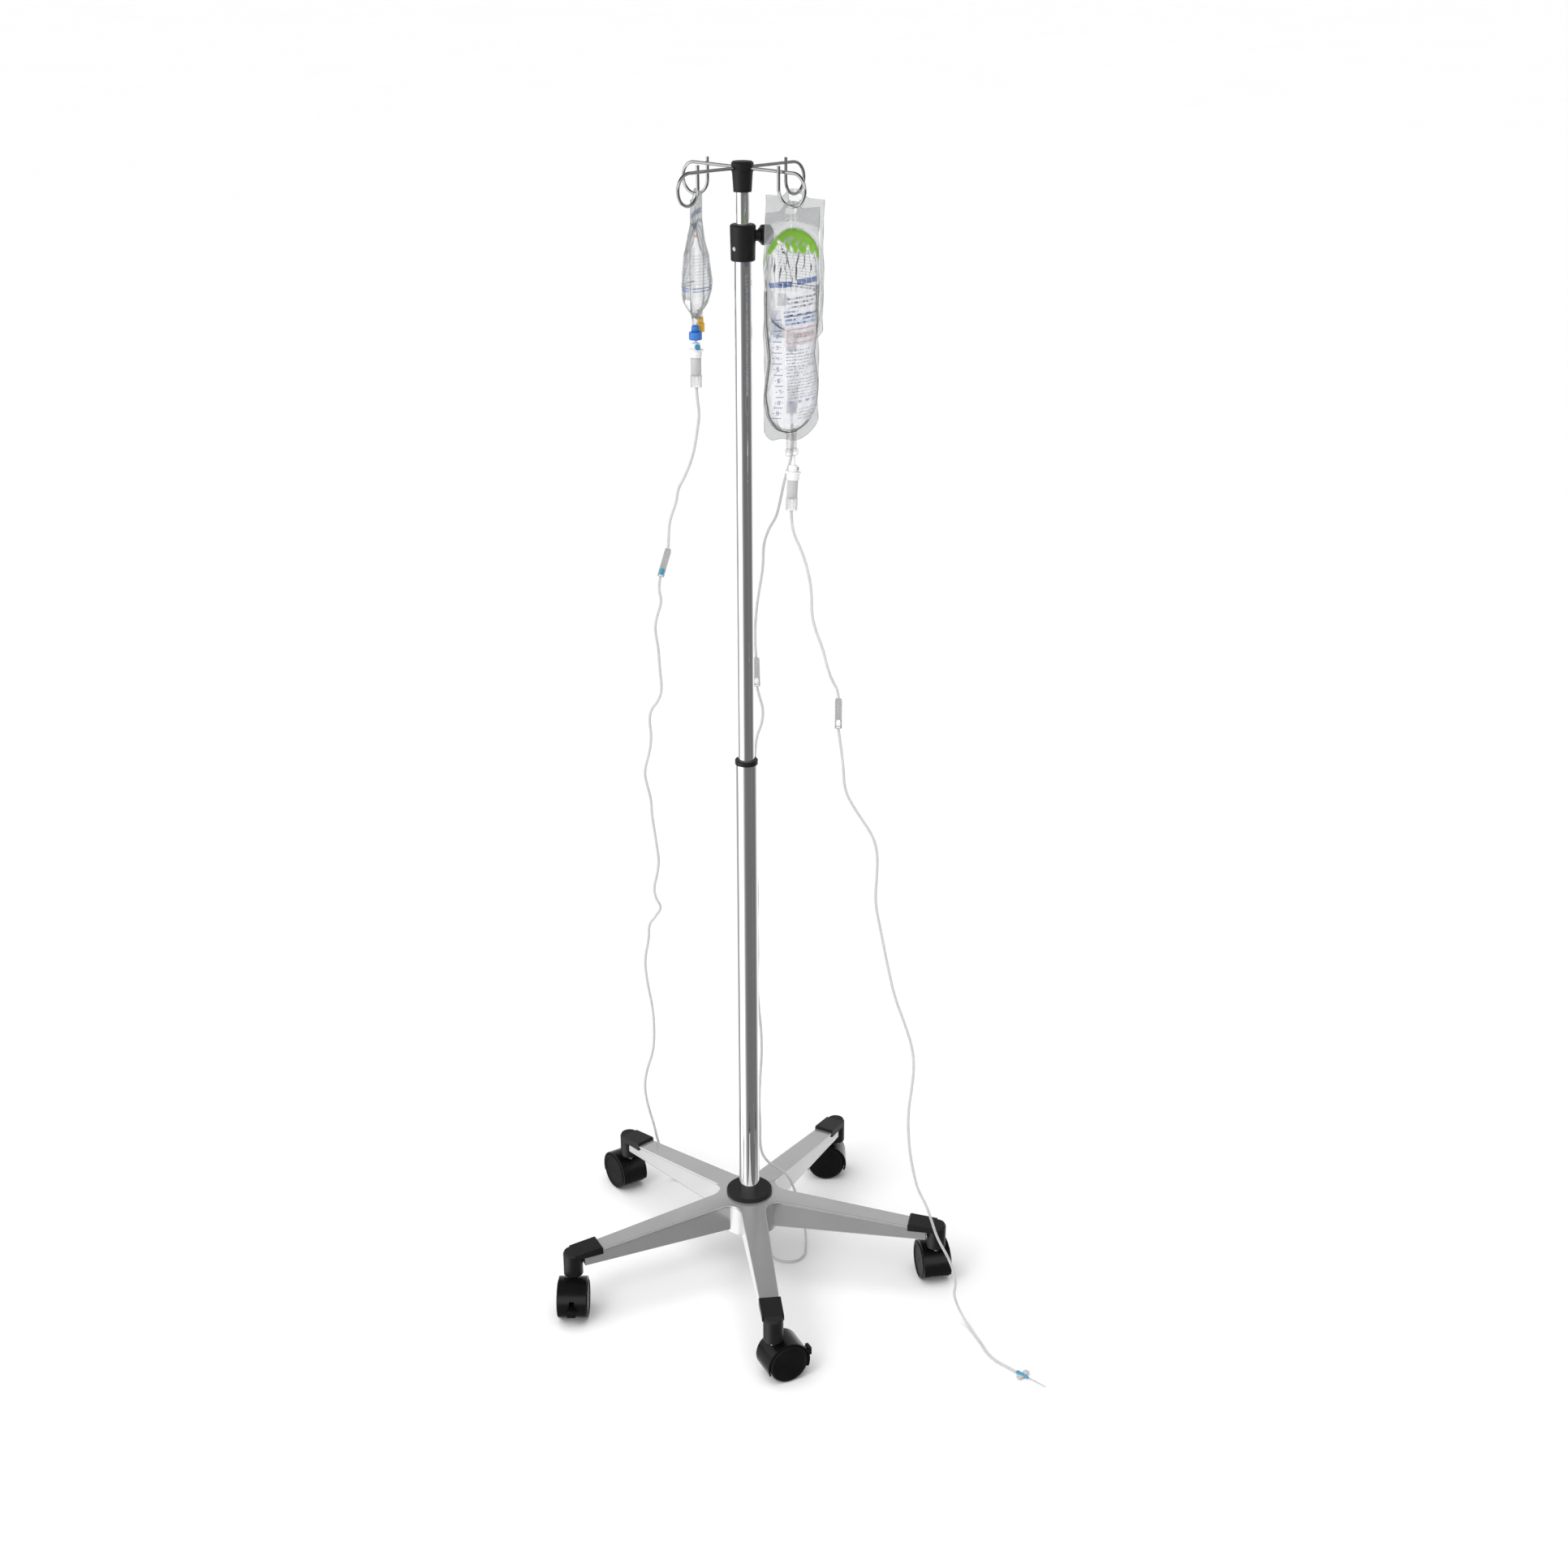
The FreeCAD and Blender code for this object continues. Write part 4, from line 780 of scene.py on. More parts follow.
def hemmed(grid_points, keep_face):
    """Faces of a front and a back sheet joined round every open edge."""
    front, back = grid_points
    rows, columns = front.shape[:2]
    points = [Vector(p) for sheet in (front, back) for p in sheet.reshape(-1, 3)]
    offset = rows * columns
    faces, edges = [], {}
    for row in range(rows - 1):
        for column in range(columns - 1):
            if not keep_face[row, column]:
                continue
            a = row * columns + column
            b, c, d = a + 1, a + columns + 1, a + columns
            faces.append((a, b, c, d))
            faces.append((d + offset, c + offset, b + offset, a + offset))
            for edge in ((a, b), (b, c), (c, d), (d, a)):
                key = tuple(sorted(edge))
                edges[key] = None if key in edges else edge
    for edge in edges.values():
        if edge is not None:
            a, b = edge
            faces.append((b, a, a + offset, b + offset))
    return points, faces


def paint(item, colours):
    """Ink colours stored on a mesh's points."""
    layer = item.data.color_attributes.new("ink", "FLOAT_COLOR", "POINT")
    layer.data.foreach_set("color", np.array(colours, np.float32).ravel())


def used_only(points, faces, colours):
    """The points that faces use, with their colours, and the faces renumbered to them."""
    used = sorted({index for face in faces for index in face})
    place = {old: new for new, old in enumerate(used)}
    return ([points[i] for i in used], [tuple(place[i] for i in face) for face in faces],
            [colours[i] for i in used])


# Printed arch across the top of a bag: drop of its centre and outer radius, its thickness
# across the bag, and the pleats that cut into its lower edge (place, reach, height).
GREEN_ARCH = {"b": (0.079, 0.053)}
ARCH_THICKNESS = [(-0.050, 0.012), (-0.034, 0.017), (-0.018, 0.017), (-0.008, 0.030),
                  (0.004, 0.036), (0.020, 0.034), (0.034, 0.027), (0.050, 0.016)]
ARCH_FLAMES = [(-0.044, 0.0022, 0.006), (-0.024, 0.0026, 0.008), (-0.011, 0.0022, 0.009),
               (0.001, 0.0022, 0.010), (0.013, 0.0020, 0.006), (0.030, 0.0024, 0.012),
               (0.041, 0.0020, 0.006)]
ARCH_GREEN, ARCH_RIM, ARCH_HALO = (0.19, 0.46, 0.008), (0.09, 0.25, 0.004), 0.9


def over(colours, tone, cover):
    """Colours with a tone laid over them by its cover."""
    colours[..., :3] = colours[..., :3] * (1 - cover) + tone * cover
    return colours


def film_colours(letter, x, drop, inside, side):
    """Ink of each film point: grey header and seams, a clear body, the printed arch."""
    colours = np.zeros(x.shape + (4,))
    colours[:] = HEADER_INK
    clear_share = np.clip(inside * 6.0, 0.0, 1.0)[..., None]
    colours = colours * (1 - clear_share) + np.array(BODY_INK) * clear_share
    below = np.clip((drop - 0.05) / 0.03, 0.0, 1.0)[..., None] * (1 - clear_share)
    colours = colours * (1 - below) + np.array(SEAM_INK) * below
    if letter in GREEN_ARCH:
        centre, outer = GREEN_ARCH[letter]
        distance = np.hypot(x, (centre - drop))
        arch_top = centre - np.sqrt(np.clip(outer ** 2 - x ** 2, 0, None))
        thick = np.interp(x, *zip(*ARCH_THICKNESS))
        for place, reach, height in ARCH_FLAMES:
            thick = thick - height * hump(x, place, reach)
        band = np.clip((outer - distance) / 0.002, 0, 1) * np.clip(
            (arch_top + thick - drop) / 0.003, 0, 1)
        rim = np.clip(1.0 - (drop - arch_top) / 0.007, 0, 1)[..., None]
        tone = np.array(ARCH_GREEN) * (1 - rim) + np.array(ARCH_RIM) * rim
        cover = (band * (0.97 if side < 0 else 0.4))[..., None]
        colours = over(colours, tone, cover)
        colours[..., 3:] = np.maximum(colours[..., 3:], cover)
        halo = np.clip(1 - np.abs(distance - outer - 0.004) / 0.005, 0, 1) * (drop < centre)
        halo = (0.6 * halo)[..., None]
        colours = over(colours, ARCH_HALO, halo)
        colours[..., 3:] = np.maximum(colours[..., 3:], 0.8 * halo)
    return colours


# The hanger slot's half-sizes, across and down, and the drop of its centre.
SLOT_HALF = (0.012, 0.0062)
SLOT_DROP = 0.0040


def make_film(letter):
    """A bag's two films, joined round their edges and its slot. Returns their sheets."""
    sheets, colours = [], []
    for side in (-1, 1):
        x, y, drop, inside = film_grid(letter, side)
        flat = [to_frame(letter, *values) for values in zip(x.ravel(), y.ravel(), drop.ravel())]
        sheets.append(np.array(flat).reshape(x.shape + (3,)))
        colours.append(film_colours(letter, x, drop, inside, side))
    sheets = settle(sheets, inside, drop / BAGS[letter]["seam"])
    mid_x = (x[:-1, :-1] + x[1:, 1:]) / 2
    mid_drop = (drop[:-1, :-1] + drop[1:, 1:]) / 2
    hole = (mid_x / SLOT_HALF[0]) ** 2 + ((mid_drop - SLOT_DROP) / SLOT_HALF[1]) ** 2 < 1.0
    points, faces = hemmed(sheets, ~hole)
    ink = np.concatenate([c.reshape(-1, 4) for c in colours])
    points, faces, ink = used_only(points, faces, [tuple(c) for c in ink])
    item = piece("bag_%s_film" % letter, points, faces, FILM, "bag_" + letter, "bag_film",
                 clean=False)
    paint(item, ink)
    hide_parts("bag_" + letter)
    return sheets


LIQUID_GAP, LIQUID_LEAST = 0.0007, 0.0012


def make_liquid(letter, film_sheets):
    """The liquid inside the bladder, just clear of the film."""
    axis = depth_axis(letter)
    sheets = [sheet - side * axis * (FILM_HALF + LIQUID_GAP)
              for side, sheet in zip((-1, 1), film_sheets)]
    ok = (sheets[1] - sheets[0]) @ axis > LIQUID_LEAST
    keep_face = ok[:-1, :-1] & ok[1:, 1:] & ok[:-1, 1:] & ok[1:, :-1]
    points, faces = hemmed(sheets, keep_face)
    points, faces, _ = used_only(points, faces, points)
    piece("bag_%s_liquid" % letter, points, faces, LIQUID, "bag_" + letter, "bag_film",
          clean=False)


# Beads of each bag's weld: how far outside the filled part, and radius.
WELD_BEADS = {"a": [(0.0030, 0.0006)], "b": [(0.0012, 0.0010), (0.0042, 0.0006)],
              "c": [(0.0012, 0.0010), (0.0042, 0.0006)]}
WELD_START, WELD_END = 0.34, 0.002
WELD_POINTS = 90


def make_weld(letter):
    """The welded beads round the filled part. Only bag b's carry painted shade, a near-black finish
    standing in for the dark refracted line at its weld; the others are clear.
    """
    bag = BAGS[letter]
    drops = np.linspace(WELD_START * bag["seam"], bag["sections"][-1][0] + WELD_END,
                        WELD_POINTS)
    wide, _ = bladder_size(letter, drops)
    groups = []
    for outward, radius in WELD_BEADS[letter]:
        reach = np.minimum(wide + outward, bag["width"] / 2 - 0.0015)
        sides = [[to_frame(letter, sign * x, 0.0, d) for x, d in zip(reach, drops)]
                 for sign in (-1, 1)]
        loop = sides[0] + sides[1][::-1]
        groups.append(swept(loop, radius, 10))
    piece("bag_%s_weld" % letter, *merged(groups), WELD_PAINTED_SHADE if letter == "b" else CLEAR,
          "bag_" + letter, "bag_film")


PRINT_LIFT = 0.0005
PRINT_STEP = 0.0015
WORD_GAP = 0.0011
WORD_LONG = (0.003, 0.009)


class FilmMarks:
    """Thin printed areas, and painted highlights drawn the same way, that follow one sheet of a bag's
    film.
    """

    def __init__(self, letter, sheet, side=-1):
        self.letter, self.sheet, self.side = letter, sheet, side
        self.points, self.faces, self.colours = [], [], []

    def spot(self, x, drop):
        bag = BAGS[self.letter]
        share = x / (bag["width"] / 2 - FILM_EDGE)
        top, low = film_edges(self.letter, np.array(share))
        rows, columns = self.sheet.shape[:2]
        r = min(max((drop - float(top)) / float(low - top), 0.0), 0.9999) * (rows - 1)
        c = min(max((share + 1) / 2, 0.0), 0.9999) * (columns - 1)
        i, j = int(r), int(c)
        u, v = r - i, c - j
        p = self.sheet
        at = (p[i, j] * (1 - u) * (1 - v) + p[i + 1, j] * u * (1 - v)
              + p[i, j + 1] * (1 - u) * v + p[i + 1, j + 1] * u * v)
        out = np.cross(p[i, j + 1] - p[i, j], p[i, j] - p[i + 1, j])
        return Vector(at) - Vector(out).normalized() * PRINT_LIFT * self.side

    def area(self, x0, x1, drop0, drop1, colour, cover=0.8, slant=0.0):
        across = max(1, int((x1 - x0) / PRINT_STEP))
        down = max(1, int((drop1 - drop0) / PRINT_STEP))
        start = len(self.points)
        for i in range(down + 1):
            for j in range(across + 1):
                x = x0 + (x1 - x0) * j / across
                self.points.append(self.spot(x, drop0 + (drop1 - drop0) * i / down
                                             + slant * (x - x0)))
                self.colours.append((*colour, cover))
        for i in range(down):
            for j in range(across):
                a = start + i * (across + 1) + j
                self.faces.append((a, a + across + 1, a + across + 2, a + 1))

    def outline(self, x0, x1, drop0, drop1, thick, colour, cover=0.8):
        self.area(x0, x1, drop0, drop0 + thick, colour, cover)
        self.area(x0, x1, drop1 - thick, drop1, colour, cover)
        self.area(x0, x0 + thick, drop0, drop1, colour, cover)
        self.area(x1 - thick, x1, drop0, drop1, colour, cover)

    def words(self, x0, x1, drop, tall, colour, cover=0.6):
        """A line of generic text: short bars of uneven length."""
        x = x0
        while x < x1 - WORD_LONG[0]:
            long = rng.uniform(*WORD_LONG)
            self.area(x, min(x + long, x1), drop, drop + tall, colour, cover)
            x += long + WORD_GAP

    def lines(self, x0, x1, drop, step, count, tall, colour, cover):
        """Even lines of generic text."""
        for line in range(count):
            self.words(x0, x1, drop + step * line, tall, colour, cover)

    def finish(self):
        name = "bag_%s_print" % self.letter + ("_back" if self.side > 0 else "")
        item = piece(name, self.points, self.faces, PRINT_AND_HIGHLIGHT_INK, "bag_" + self.letter, "bag_film",
                     clean=False)
        paint(item, self.colours)


NAVY = (0.012, 0.05, 0.17)
BLUE_INK = (0.05, 0.12, 0.36)
PALE = (0.50, 0.62, 0.80)
GREY_INK = (0.07, 0.075, 0.11)
PINK = (0.50, 0.09, 0.10)
PINK_PALE = (0.86, 0.76, 0.76)
WINE = (0.35, 0.10, 0.10)
AMBER = (0.7, 0.3, 0.02)
PAPER = (0.80, 0.81, 0.87)
HIGHLIGHT_WHITE = (0.95, 0.95, 0.95)
# The flap's fill and its outline; the outline's light grey is a painted highlight along the flap's
# edges.
FLAP_INK, FLAP_EDGE_HIGHLIGHT = (0.75, 0.77, 0.77), (0.9, 0.9, 0.9)
FLAP = (-0.0125, 0.0125, 0.0040, 0.0150)


def print_flap_and_highlight(ink):
    """The hanger flap that is folded out of the slot, with a painted highlight: its lighter outline
    stands for light caught along the flap's edges.
    """
    ink.area(*FLAP, FLAP_INK, 0.22)
    ink.outline(*FLAP, 0.0007, FLAP_EDGE_HIGHLIGHT, 0.6)


# The large label: its top's drop, its two sides, the blocks of the bar above it, and its
# scale's first mark, step and sides.
LABEL_TOP, LABEL_TALL = 0.110, 0.170
LABEL_LEFT, LABEL_RIGHT = -0.025, 0.037
LABEL_BAR = ((-0.043, -0.036), (-0.035, -0.026), (-0.025, -0.017), (-0.0155, -0.008),
             (0.002, 0.010), (0.011, 0.020), (0.021, 0.031), (0.032, 0.043))
SCALE_TOP, SCALE_STEP, SCALE_MARKS = 0.030, 0.0145, 10
SCALE_LEFT, SCALE_RIGHT = -0.0375, -0.0285


def print_scale(ink, top):
    """The numbered scale beside the label, with half marks between its lines."""
    for step in range(SCALE_MARKS):
        at = top + SCALE_TOP + SCALE_STEP * step
        ink.area(SCALE_LEFT, SCALE_RIGHT, at, at + 0.0011, BLUE_INK, 0.9)
        if step < SCALE_MARKS - 1:
            digit(ink, step + 1, -0.0345, at + 0.0055)
            for start, end in ((SCALE_LEFT, -0.0358), (-0.0304, -0.0287)):
                ink.area(start, end, at + 0.0075, at + 0.0084, BLUE_INK, 0.85)


def print_large(letter, sheet):
    """The label of the large bag: a bar, text lines, a boxed line and a scale."""
    ink = FilmMarks(letter, sheet)
    print_flap_and_highlight(ink)
    top, left, right = LABEL_TOP, LABEL_LEFT, LABEL_RIGHT
    for start, end in LABEL_BAR:
        ink.area(start, end, top - 0.018, top - 0.011, BLUE_INK, 0.8)
    ink.area(left, right, top, top + LABEL_TALL, PAPER, 0.62)
    ink.lines(left + 0.010, right, top + 0.004, 0.0055, 3, 0.0028, GREY_INK, 0.7)
    ink.words(left, left + 0.028, top + 0.0205, 0.003, BLUE_INK, 0.8)
    ink.area(left, right, top + 0.0255, top + 0.0288, NAVY, 0.97)
    ink.area(left, right, top + 0.0300, top + 0.040, PALE, 0.55)
    ink.words(left + 0.002, -0.004, top + 0.031, 0.0024, BLUE_INK, 0.6)
    ink.words(0.008, right, top + 0.031, 0.0024, BLUE_INK, 0.6)
    ink.words(left + 0.002, right, top + 0.036, 0.0024, BLUE_INK, 0.6)
    ink.area(left, right, top + 0.041, top + 0.066, PINK_PALE, 0.5)
    ink.outline(left + 0.003, right, top + 0.044, top + 0.063, 0.0015, PINK, 0.95)
    ink.words(left + 0.011, right - 0.004, top + 0.0505, 0.006, WINE, 0.45)
    for line in range(9):
        reach = right if line % 3 == 2 else rng.uniform(0.008, 0.026)
        ink.words(left + 0.002, reach, top + 0.071 + 0.0042 * line, 0.0018, GREY_INK, 0.55)
    ink.area(left, right, top + 0.0945, top + 0.0952, GREY_INK, 0.7)
    ink.lines(left + 0.002, right, top + 0.110, 0.0040, 7, 0.0017, GREY_INK, 0.5)
    for place in (-0.021, -0.007, 0.008, 0.022):
        ink.area(place, place + 0.009, top + 0.1385, top + 0.1425, BLUE_INK, 0.5)
    ink.lines(-0.004, right - 0.003, top + 0.150, 0.0042, 4, 0.0017, GREY_INK, 0.5)
    print_scale(ink, top)
    ink.area(-0.0400, SCALE_RIGHT, top + 0.018, top + 0.060, BLUE_INK, 0.16)
    ink.finish()


# Strokes of each scale digit, and each stroke's box as shares of the digit's size.
SEGMENTS = {1: "bc", 2: "abged", 3: "abgcd", 4: "fgbc", 5: "afgcd", 6: "afgedc", 7: "abc",
            8: "abcdefg", 9: "abcdfg"}
SEGMENT_BOXES = {"a": (0, 1, 0, 0.2), "b": (0.75, 1, 0, 0.55), "c": (0.75, 1, 0.45, 1),
                 "d": (0, 1, 0.8, 1), "e": (0, 0.25, 0.45, 1), "f": (0, 0.25, 0, 0.55),
                 "g": (0, 1, 0.42, 0.58)}
DIGIT_WIDE, DIGIT_TALL = 0.0028, 0.0048


def digit(ink, number, x, drop):
    """A scale digit drawn with strokes."""
    for name in SEGMENTS[number]:
        x0, x1, low, high = SEGMENT_BOXES[name]
        ink.area(x + x0 * DIGIT_WIDE, x + x1 * DIGIT_WIDE, drop + low * DIGIT_TALL,
                 drop + high * DIGIT_TALL, BLUE_INK, 0.85)


# The small label's sides, and a painted highlight below it: a white half oval standing in for a glint
# on the liquid.
SMALL_LEFT, SMALL_RIGHT = -0.0362, 0.030
HIGHLIGHT_OVAL_ROWS, HIGHLIGHT_OVAL_LEFT, HIGHLIGHT_OVAL_MIDDLE = 9, -0.0365, (-0.0290, 0.1465)
HIGHLIGHT_OVAL_HALF = (0.007, 0.0085)


def print_bands(ink):
    """The slanted bands and the amber mark on the smallest bag's header."""
    for place in range(-36, 36, 6):
        ink.area(place / 1000, place / 1000 + 0.0042, 0.022, 0.0285, BLUE_INK, 0.6, 0.12)
    for place in range(-34, 34, 9):
        ink.area(place / 1000, place / 1000 + 0.006, 0.036, 0.0395, BLUE_INK, 0.45, 0.1)
    ink.area(-0.030, -0.026, 0.0505, 0.0545, AMBER, 0.85)


def print_small_and_highlight(letter, sheet, side, header):
    """The label of a small bag: its header's print, text and two lines, and a painted highlight, a
    white oval standing in for a glint on the liquid.
    """
    ink = FilmMarks(letter, sheet, side)
    header(ink)
    left, right = SMALL_LEFT, SMALL_RIGHT
    ink.area(left, right, 0.076, 0.134, PAPER, 0.2)
    for line in range(10):
        ink.words(left + 0.0002, rng.uniform(0.014, 0.028), 0.078 + 0.0042 * line, 0.0012,
                  GREY_INK, 0.28)
    ink.area(left, right, 0.1215, 0.1232, BLUE_INK, 0.8)
    ink.words(left + 0.0002, right - 0.002, 0.1250, 0.0026, BLUE_INK, 0.6)
    # Painted highlight: white rows filling a half oval, in place of a glint on the liquid.
    for row in range(HIGHLIGHT_OVAL_ROWS):
        lift = (2 * row + 1 - HIGHLIGHT_OVAL_ROWS) / HIGHLIGHT_OVAL_ROWS
        reach = HIGHLIGHT_OVAL_HALF[0] * math.sqrt(1 - lift ** 2)
        at = HIGHLIGHT_OVAL_MIDDLE[1] + HIGHLIGHT_OVAL_HALF[1] * lift
        ink.area(HIGHLIGHT_OVAL_LEFT, HIGHLIGHT_OVAL_MIDDLE[0] + reach, at - 0.0010, at + 0.0010, HIGHLIGHT_WHITE, 0.85)
    ink.finish()


def make_bags():
    """Bag a is printed on both films, b on its front and c, behind b, on its rear one; painted
    highlights are drawn among the print.
    """
    for letter in BAGS:
        front, rear = make_film(letter)
        make_weld(letter)
        if letter != "c":
            make_liquid(letter, (front, rear))
        if letter == "a":
            print_small_and_highlight(letter, rear, 1, print_bands)
            print_small_and_highlight(letter, front, -1, print_bands)
        elif letter == "b":
            print_large(letter, front)
        else:
            print_small_and_highlight(letter, rear, 1, print_flap_and_highlight)


make_bags()


# -------------------------------------------------- ports, chambers and clamps

def lathed(profile, start, along, sides=40, ribs=0, rib_depth=0.0, oval=1.0):
    """A turned body: (distance along the axis, radius) pairs from a start point."""
    axis = Vector(along).normalized()
    side = axis.orthogonal().normalized()
    level = Vector((1, 0, 0)) - axis * axis.x
    if level.length > 0.2:
        side = level.normalized()
    up = axis.cross(side)
    points = []
    for distance, radius in profile:
        centre = Vector(start) + axis * distance
        for step in range(sides):
            turn = math.tau * step / sides
            reach = radius
            if ribs and radius > 0.0005:
                reach -= rib_depth * (0.5 + 0.5 * math.cos(ribs * turn))
            points.append(centre + side * (reach * math.cos(turn))
                          + up * (reach * oval * math.sin(turn)))
    return points, ring_faces(len(profile), sides)


def rounded_step(distance, radius, next_distance, bevel=0.0006):
    """A turned drum with softened corners, as profile pairs."""
    return [(distance, radius - bevel), (distance + 0.3 * bevel, radius - 0.3 * bevel),
            (distance + bevel, radius), (next_distance - bevel, radius),
            (next_distance - 0.3 * bevel, radius - 0.3 * bevel),
            (next_distance, radius - bevel)]


# Drop of each bag's port end and cap top, and of its chamber's axis across the bag.
PORT_END = {"a": 0.197, "b": 0.329, "c": 0.218}
CAP_TOP = {"a": 0.201, "b": 0.342, "c": 0.240}
PORT_SPOT = {"a": (-0.005, 0.002), "b": (0.0, 0.0), "c": (-0.005, 0.0)}
OUTLET = 0.063
PORT_APART = 0.0044
PORT_START = 0.013


def make_chamber(letter):
    """A drip chamber: spiked cap, ribbed barrel, clear skirt with its nozzle, and vent."""
    across, deep = PORT_SPOT[letter]
    lean = 0.0 if letter == "a" else 0.0038
    top = to_frame(letter, across + lean, deep, CAP_TOP[letter])
    low = to_frame(letter, across, deep, CAP_TOP[letter] + OUTLET)
    along = low - top
    spike = CAP_TOP[letter] - PORT_END[letter] - 0.0002
    cap = [lathed([(-spike, 0.0014), (-spike + 0.001, 0.0019), (-0.001, 0.0024),
                   (0.0005, 0.003)], top, along, 20),
           lathed([(0.0, 0.0042), (0.0004, 0.0052), (0.0013, 0.0060), (0.0035, 0.0065),
                   (0.0092, 0.0068)], top, along),
           lathed(rounded_step(0.0090, 0.0107, 0.0112, 0.0005), top, along, 48, oval=0.68),
           lathed(rounded_step(0.0110, 0.0088, 0.0202, 0.0008), top, along, 60, 20, 0.0003)]
    item = piece("chamber_%s_cap" % letter, *merged(cap), WHITE, "bag_" + letter, "chamber")
    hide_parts("drip_chamber_" + letter)
    barrel = lathed([(0.0202, 0.0066), (0.0206, 0.0074), (0.0210, 0.0075), (0.0440, 0.0073),
                     (0.0446, 0.0068)], top, along, 96, 24, 0.0005)
    piece("chamber_%s_barrel" % letter, *barrel, FROSTED, "bag_" + letter, "chamber")
    skirt = lathed([(0.0447, 0.0066), (0.0449, 0.0080), (0.0454, 0.0084), (0.0618, 0.0082),
                    (0.0620, 0.0078), (0.0618, 0.0072), (0.0462, 0.0070), (0.0458, 0.0040)],
                   top, along, 48)
    nozzle = lathed([(0.0459, 0.0036), (0.0560, 0.0032), (0.0600, 0.0026), (0.0627, 0.0025)],
                    top, along, 24)
    piece("chamber_%s_skirt" % letter, *merged([skirt, nozzle]), CLEAR, "bag_" + letter,
          "chamber")
    if letter == "a":
        start = top + Vector((0.0022, -0.0058, -0.0048))
        vent = lathed(rounded_step(0.0, 0.0042, 0.0036, 0.0004), start, (0.35, -0.9, 0.0), 6)
        piece("chamber_a_vent", *vent, TEAL, "bag_a", "chamber")
    else:
        start = top + Vector((0.0048, -0.0028, -0.0042))
        vent = lathed(rounded_step(0.0, 0.0022, 0.0026, 0.0003), start, (0.9, -0.4, 0.0), 6)
        piece("chamber_%s_vent" % letter, *vent, STEEL, "bag_" + letter, "chamber")


def make_ports(letter):
    """The tubes below a bag and what closes them."""
    across, deep = PORT_SPOT[letter]
    seam, body = BAGS[letter]["seam"], "bag_" + letter
    down = (0, 0, -1)
    if letter == "a":
        spots = [((across, deep), 0.0050, 0.188), ((0.010, -0.002), 0.0036, 0.181)]
    else:
        spots = [((across + side * PORT_APART, deep), 0.0040, PORT_END[letter] - 0.006)
                 for side in (-1, 1)]
    groups = []
    for (x, y), radius, end in spots:
        long = end - (seam - PORT_START)
        start = to_frame(letter, x, y, seam - PORT_START)
        groups.append(lathed([(0.0, radius * 0.8), (0.003, radius), (long - 0.001, radius),
                              (long, radius - 0.0004), (long - 0.0002, radius - 0.0012),
                              (0.006, radius - 0.0013)], start, down, 28))
    piece("bag_%s_ports" % letter, *merged(groups), CLEAR, body, "bag_film")
    if letter == "a":
        start = to_frame(letter, across, deep, 0.186)
        neck = lathed([(-0.009, 0.0046), (-0.006, 0.0056), (0.0, 0.0058)], start, down, 32)
        cap = lathed(rounded_step(0.0, 0.0092, 0.0108, 0.0010), start, down, 72, 24, 0.0004)
        item = piece("port_cap_blue", *merged([neck, cap]), BLUE, body, "port_cap")
        start = to_frame(letter, 0.010, -0.002, 0.176)
        neck = lathed([(-0.008, 0.0036), (-0.004, 0.0042), (0.0, 0.0044)], start, down, 24)
        cap = lathed(rounded_step(0.0, 0.0056, 0.0125, 0.0008), start, down, 6)
        piece("port_cap_orange", *merged([neck, cap]), ORANGE, body, "port_cap")
        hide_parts("port_caps_a")
    else:
        low = PORT_END[letter] - 0.010
        start = to_frame(letter, across - PORT_APART, deep, low)
        ring = lathed(rounded_step(0.0, 0.0050, 0.0092, 0.0008), start, down, 32)
        start = to_frame(letter, across + PORT_APART, deep, low)
        ball = lathed([(0.0, 0.0042), (0.0006, 0.0052), (0.0022, 0.0060), (0.0048, 0.0062),
                       (0.0074, 0.0056), (0.0092, 0.0042), (0.0098, 0.0026)], start, down, 32)
        piece("bag_%s_port_caps" % letter, *merged([ring, ball]), CLEAR, body, "bag_film")


for letter in BAGS:
    make_chamber(letter)
    make_ports(letter)


ROLLER_CLAMPS = {
    "a": ((-0.113, 0.083, 1.162), (-0.125, 0.086, 1.122)),
    "b": ((0.131, -0.112, 1.002), (0.131, -0.113, 0.960)),
    "c": ((0.014, 0.065, 1.002), (0.015, 0.065, 0.960)),
}


# The clamp's cross-section, and its (height, scale, inset of the back) stations, in
# millimetres.
CLAMP_OUTLINE = [(-4.5, -4.0), (-4.9, -3.2), (-4.5, -2.4), (-4.5, 5.6), (-3.6, 6.8), (3.6, 6.8),
                 (4.5, 5.6), (4.5, -2.4), (4.9, -3.2), (4.5, -4.0), (3.5, -4.0), (3.1, -3.2),
                 (3.0, 2.9), (2.4, 3.5), (-2.4, 3.5), (-3.0, 2.9), (-3.1, -3.2), (-3.5, -4.0)]
CLAMP_STATIONS = [(0.0, 0.86, 1.2), (0.5, 0.95, 0.4), (1.4, 1.0, 0.0), (21.0, 1.0, -0.4),
                  (40.4, 1.0, 0.0), (41.4, 0.95, 0.4), (41.9, 0.86, 1.2)]
ROLLER_PLACE = Vector((-0.0027, -0.0055, 0.009))


def clamp_axes(letter):
    """A roller clamp's lower end, and the turn that sets it along its tube."""
    top, low = (Vector(end) for end in ROLLER_CLAMPS[letter])
    turn = Vector((0, 0, 1)).rotation_difference((top - low).normalized()).to_matrix()
    return low, turn


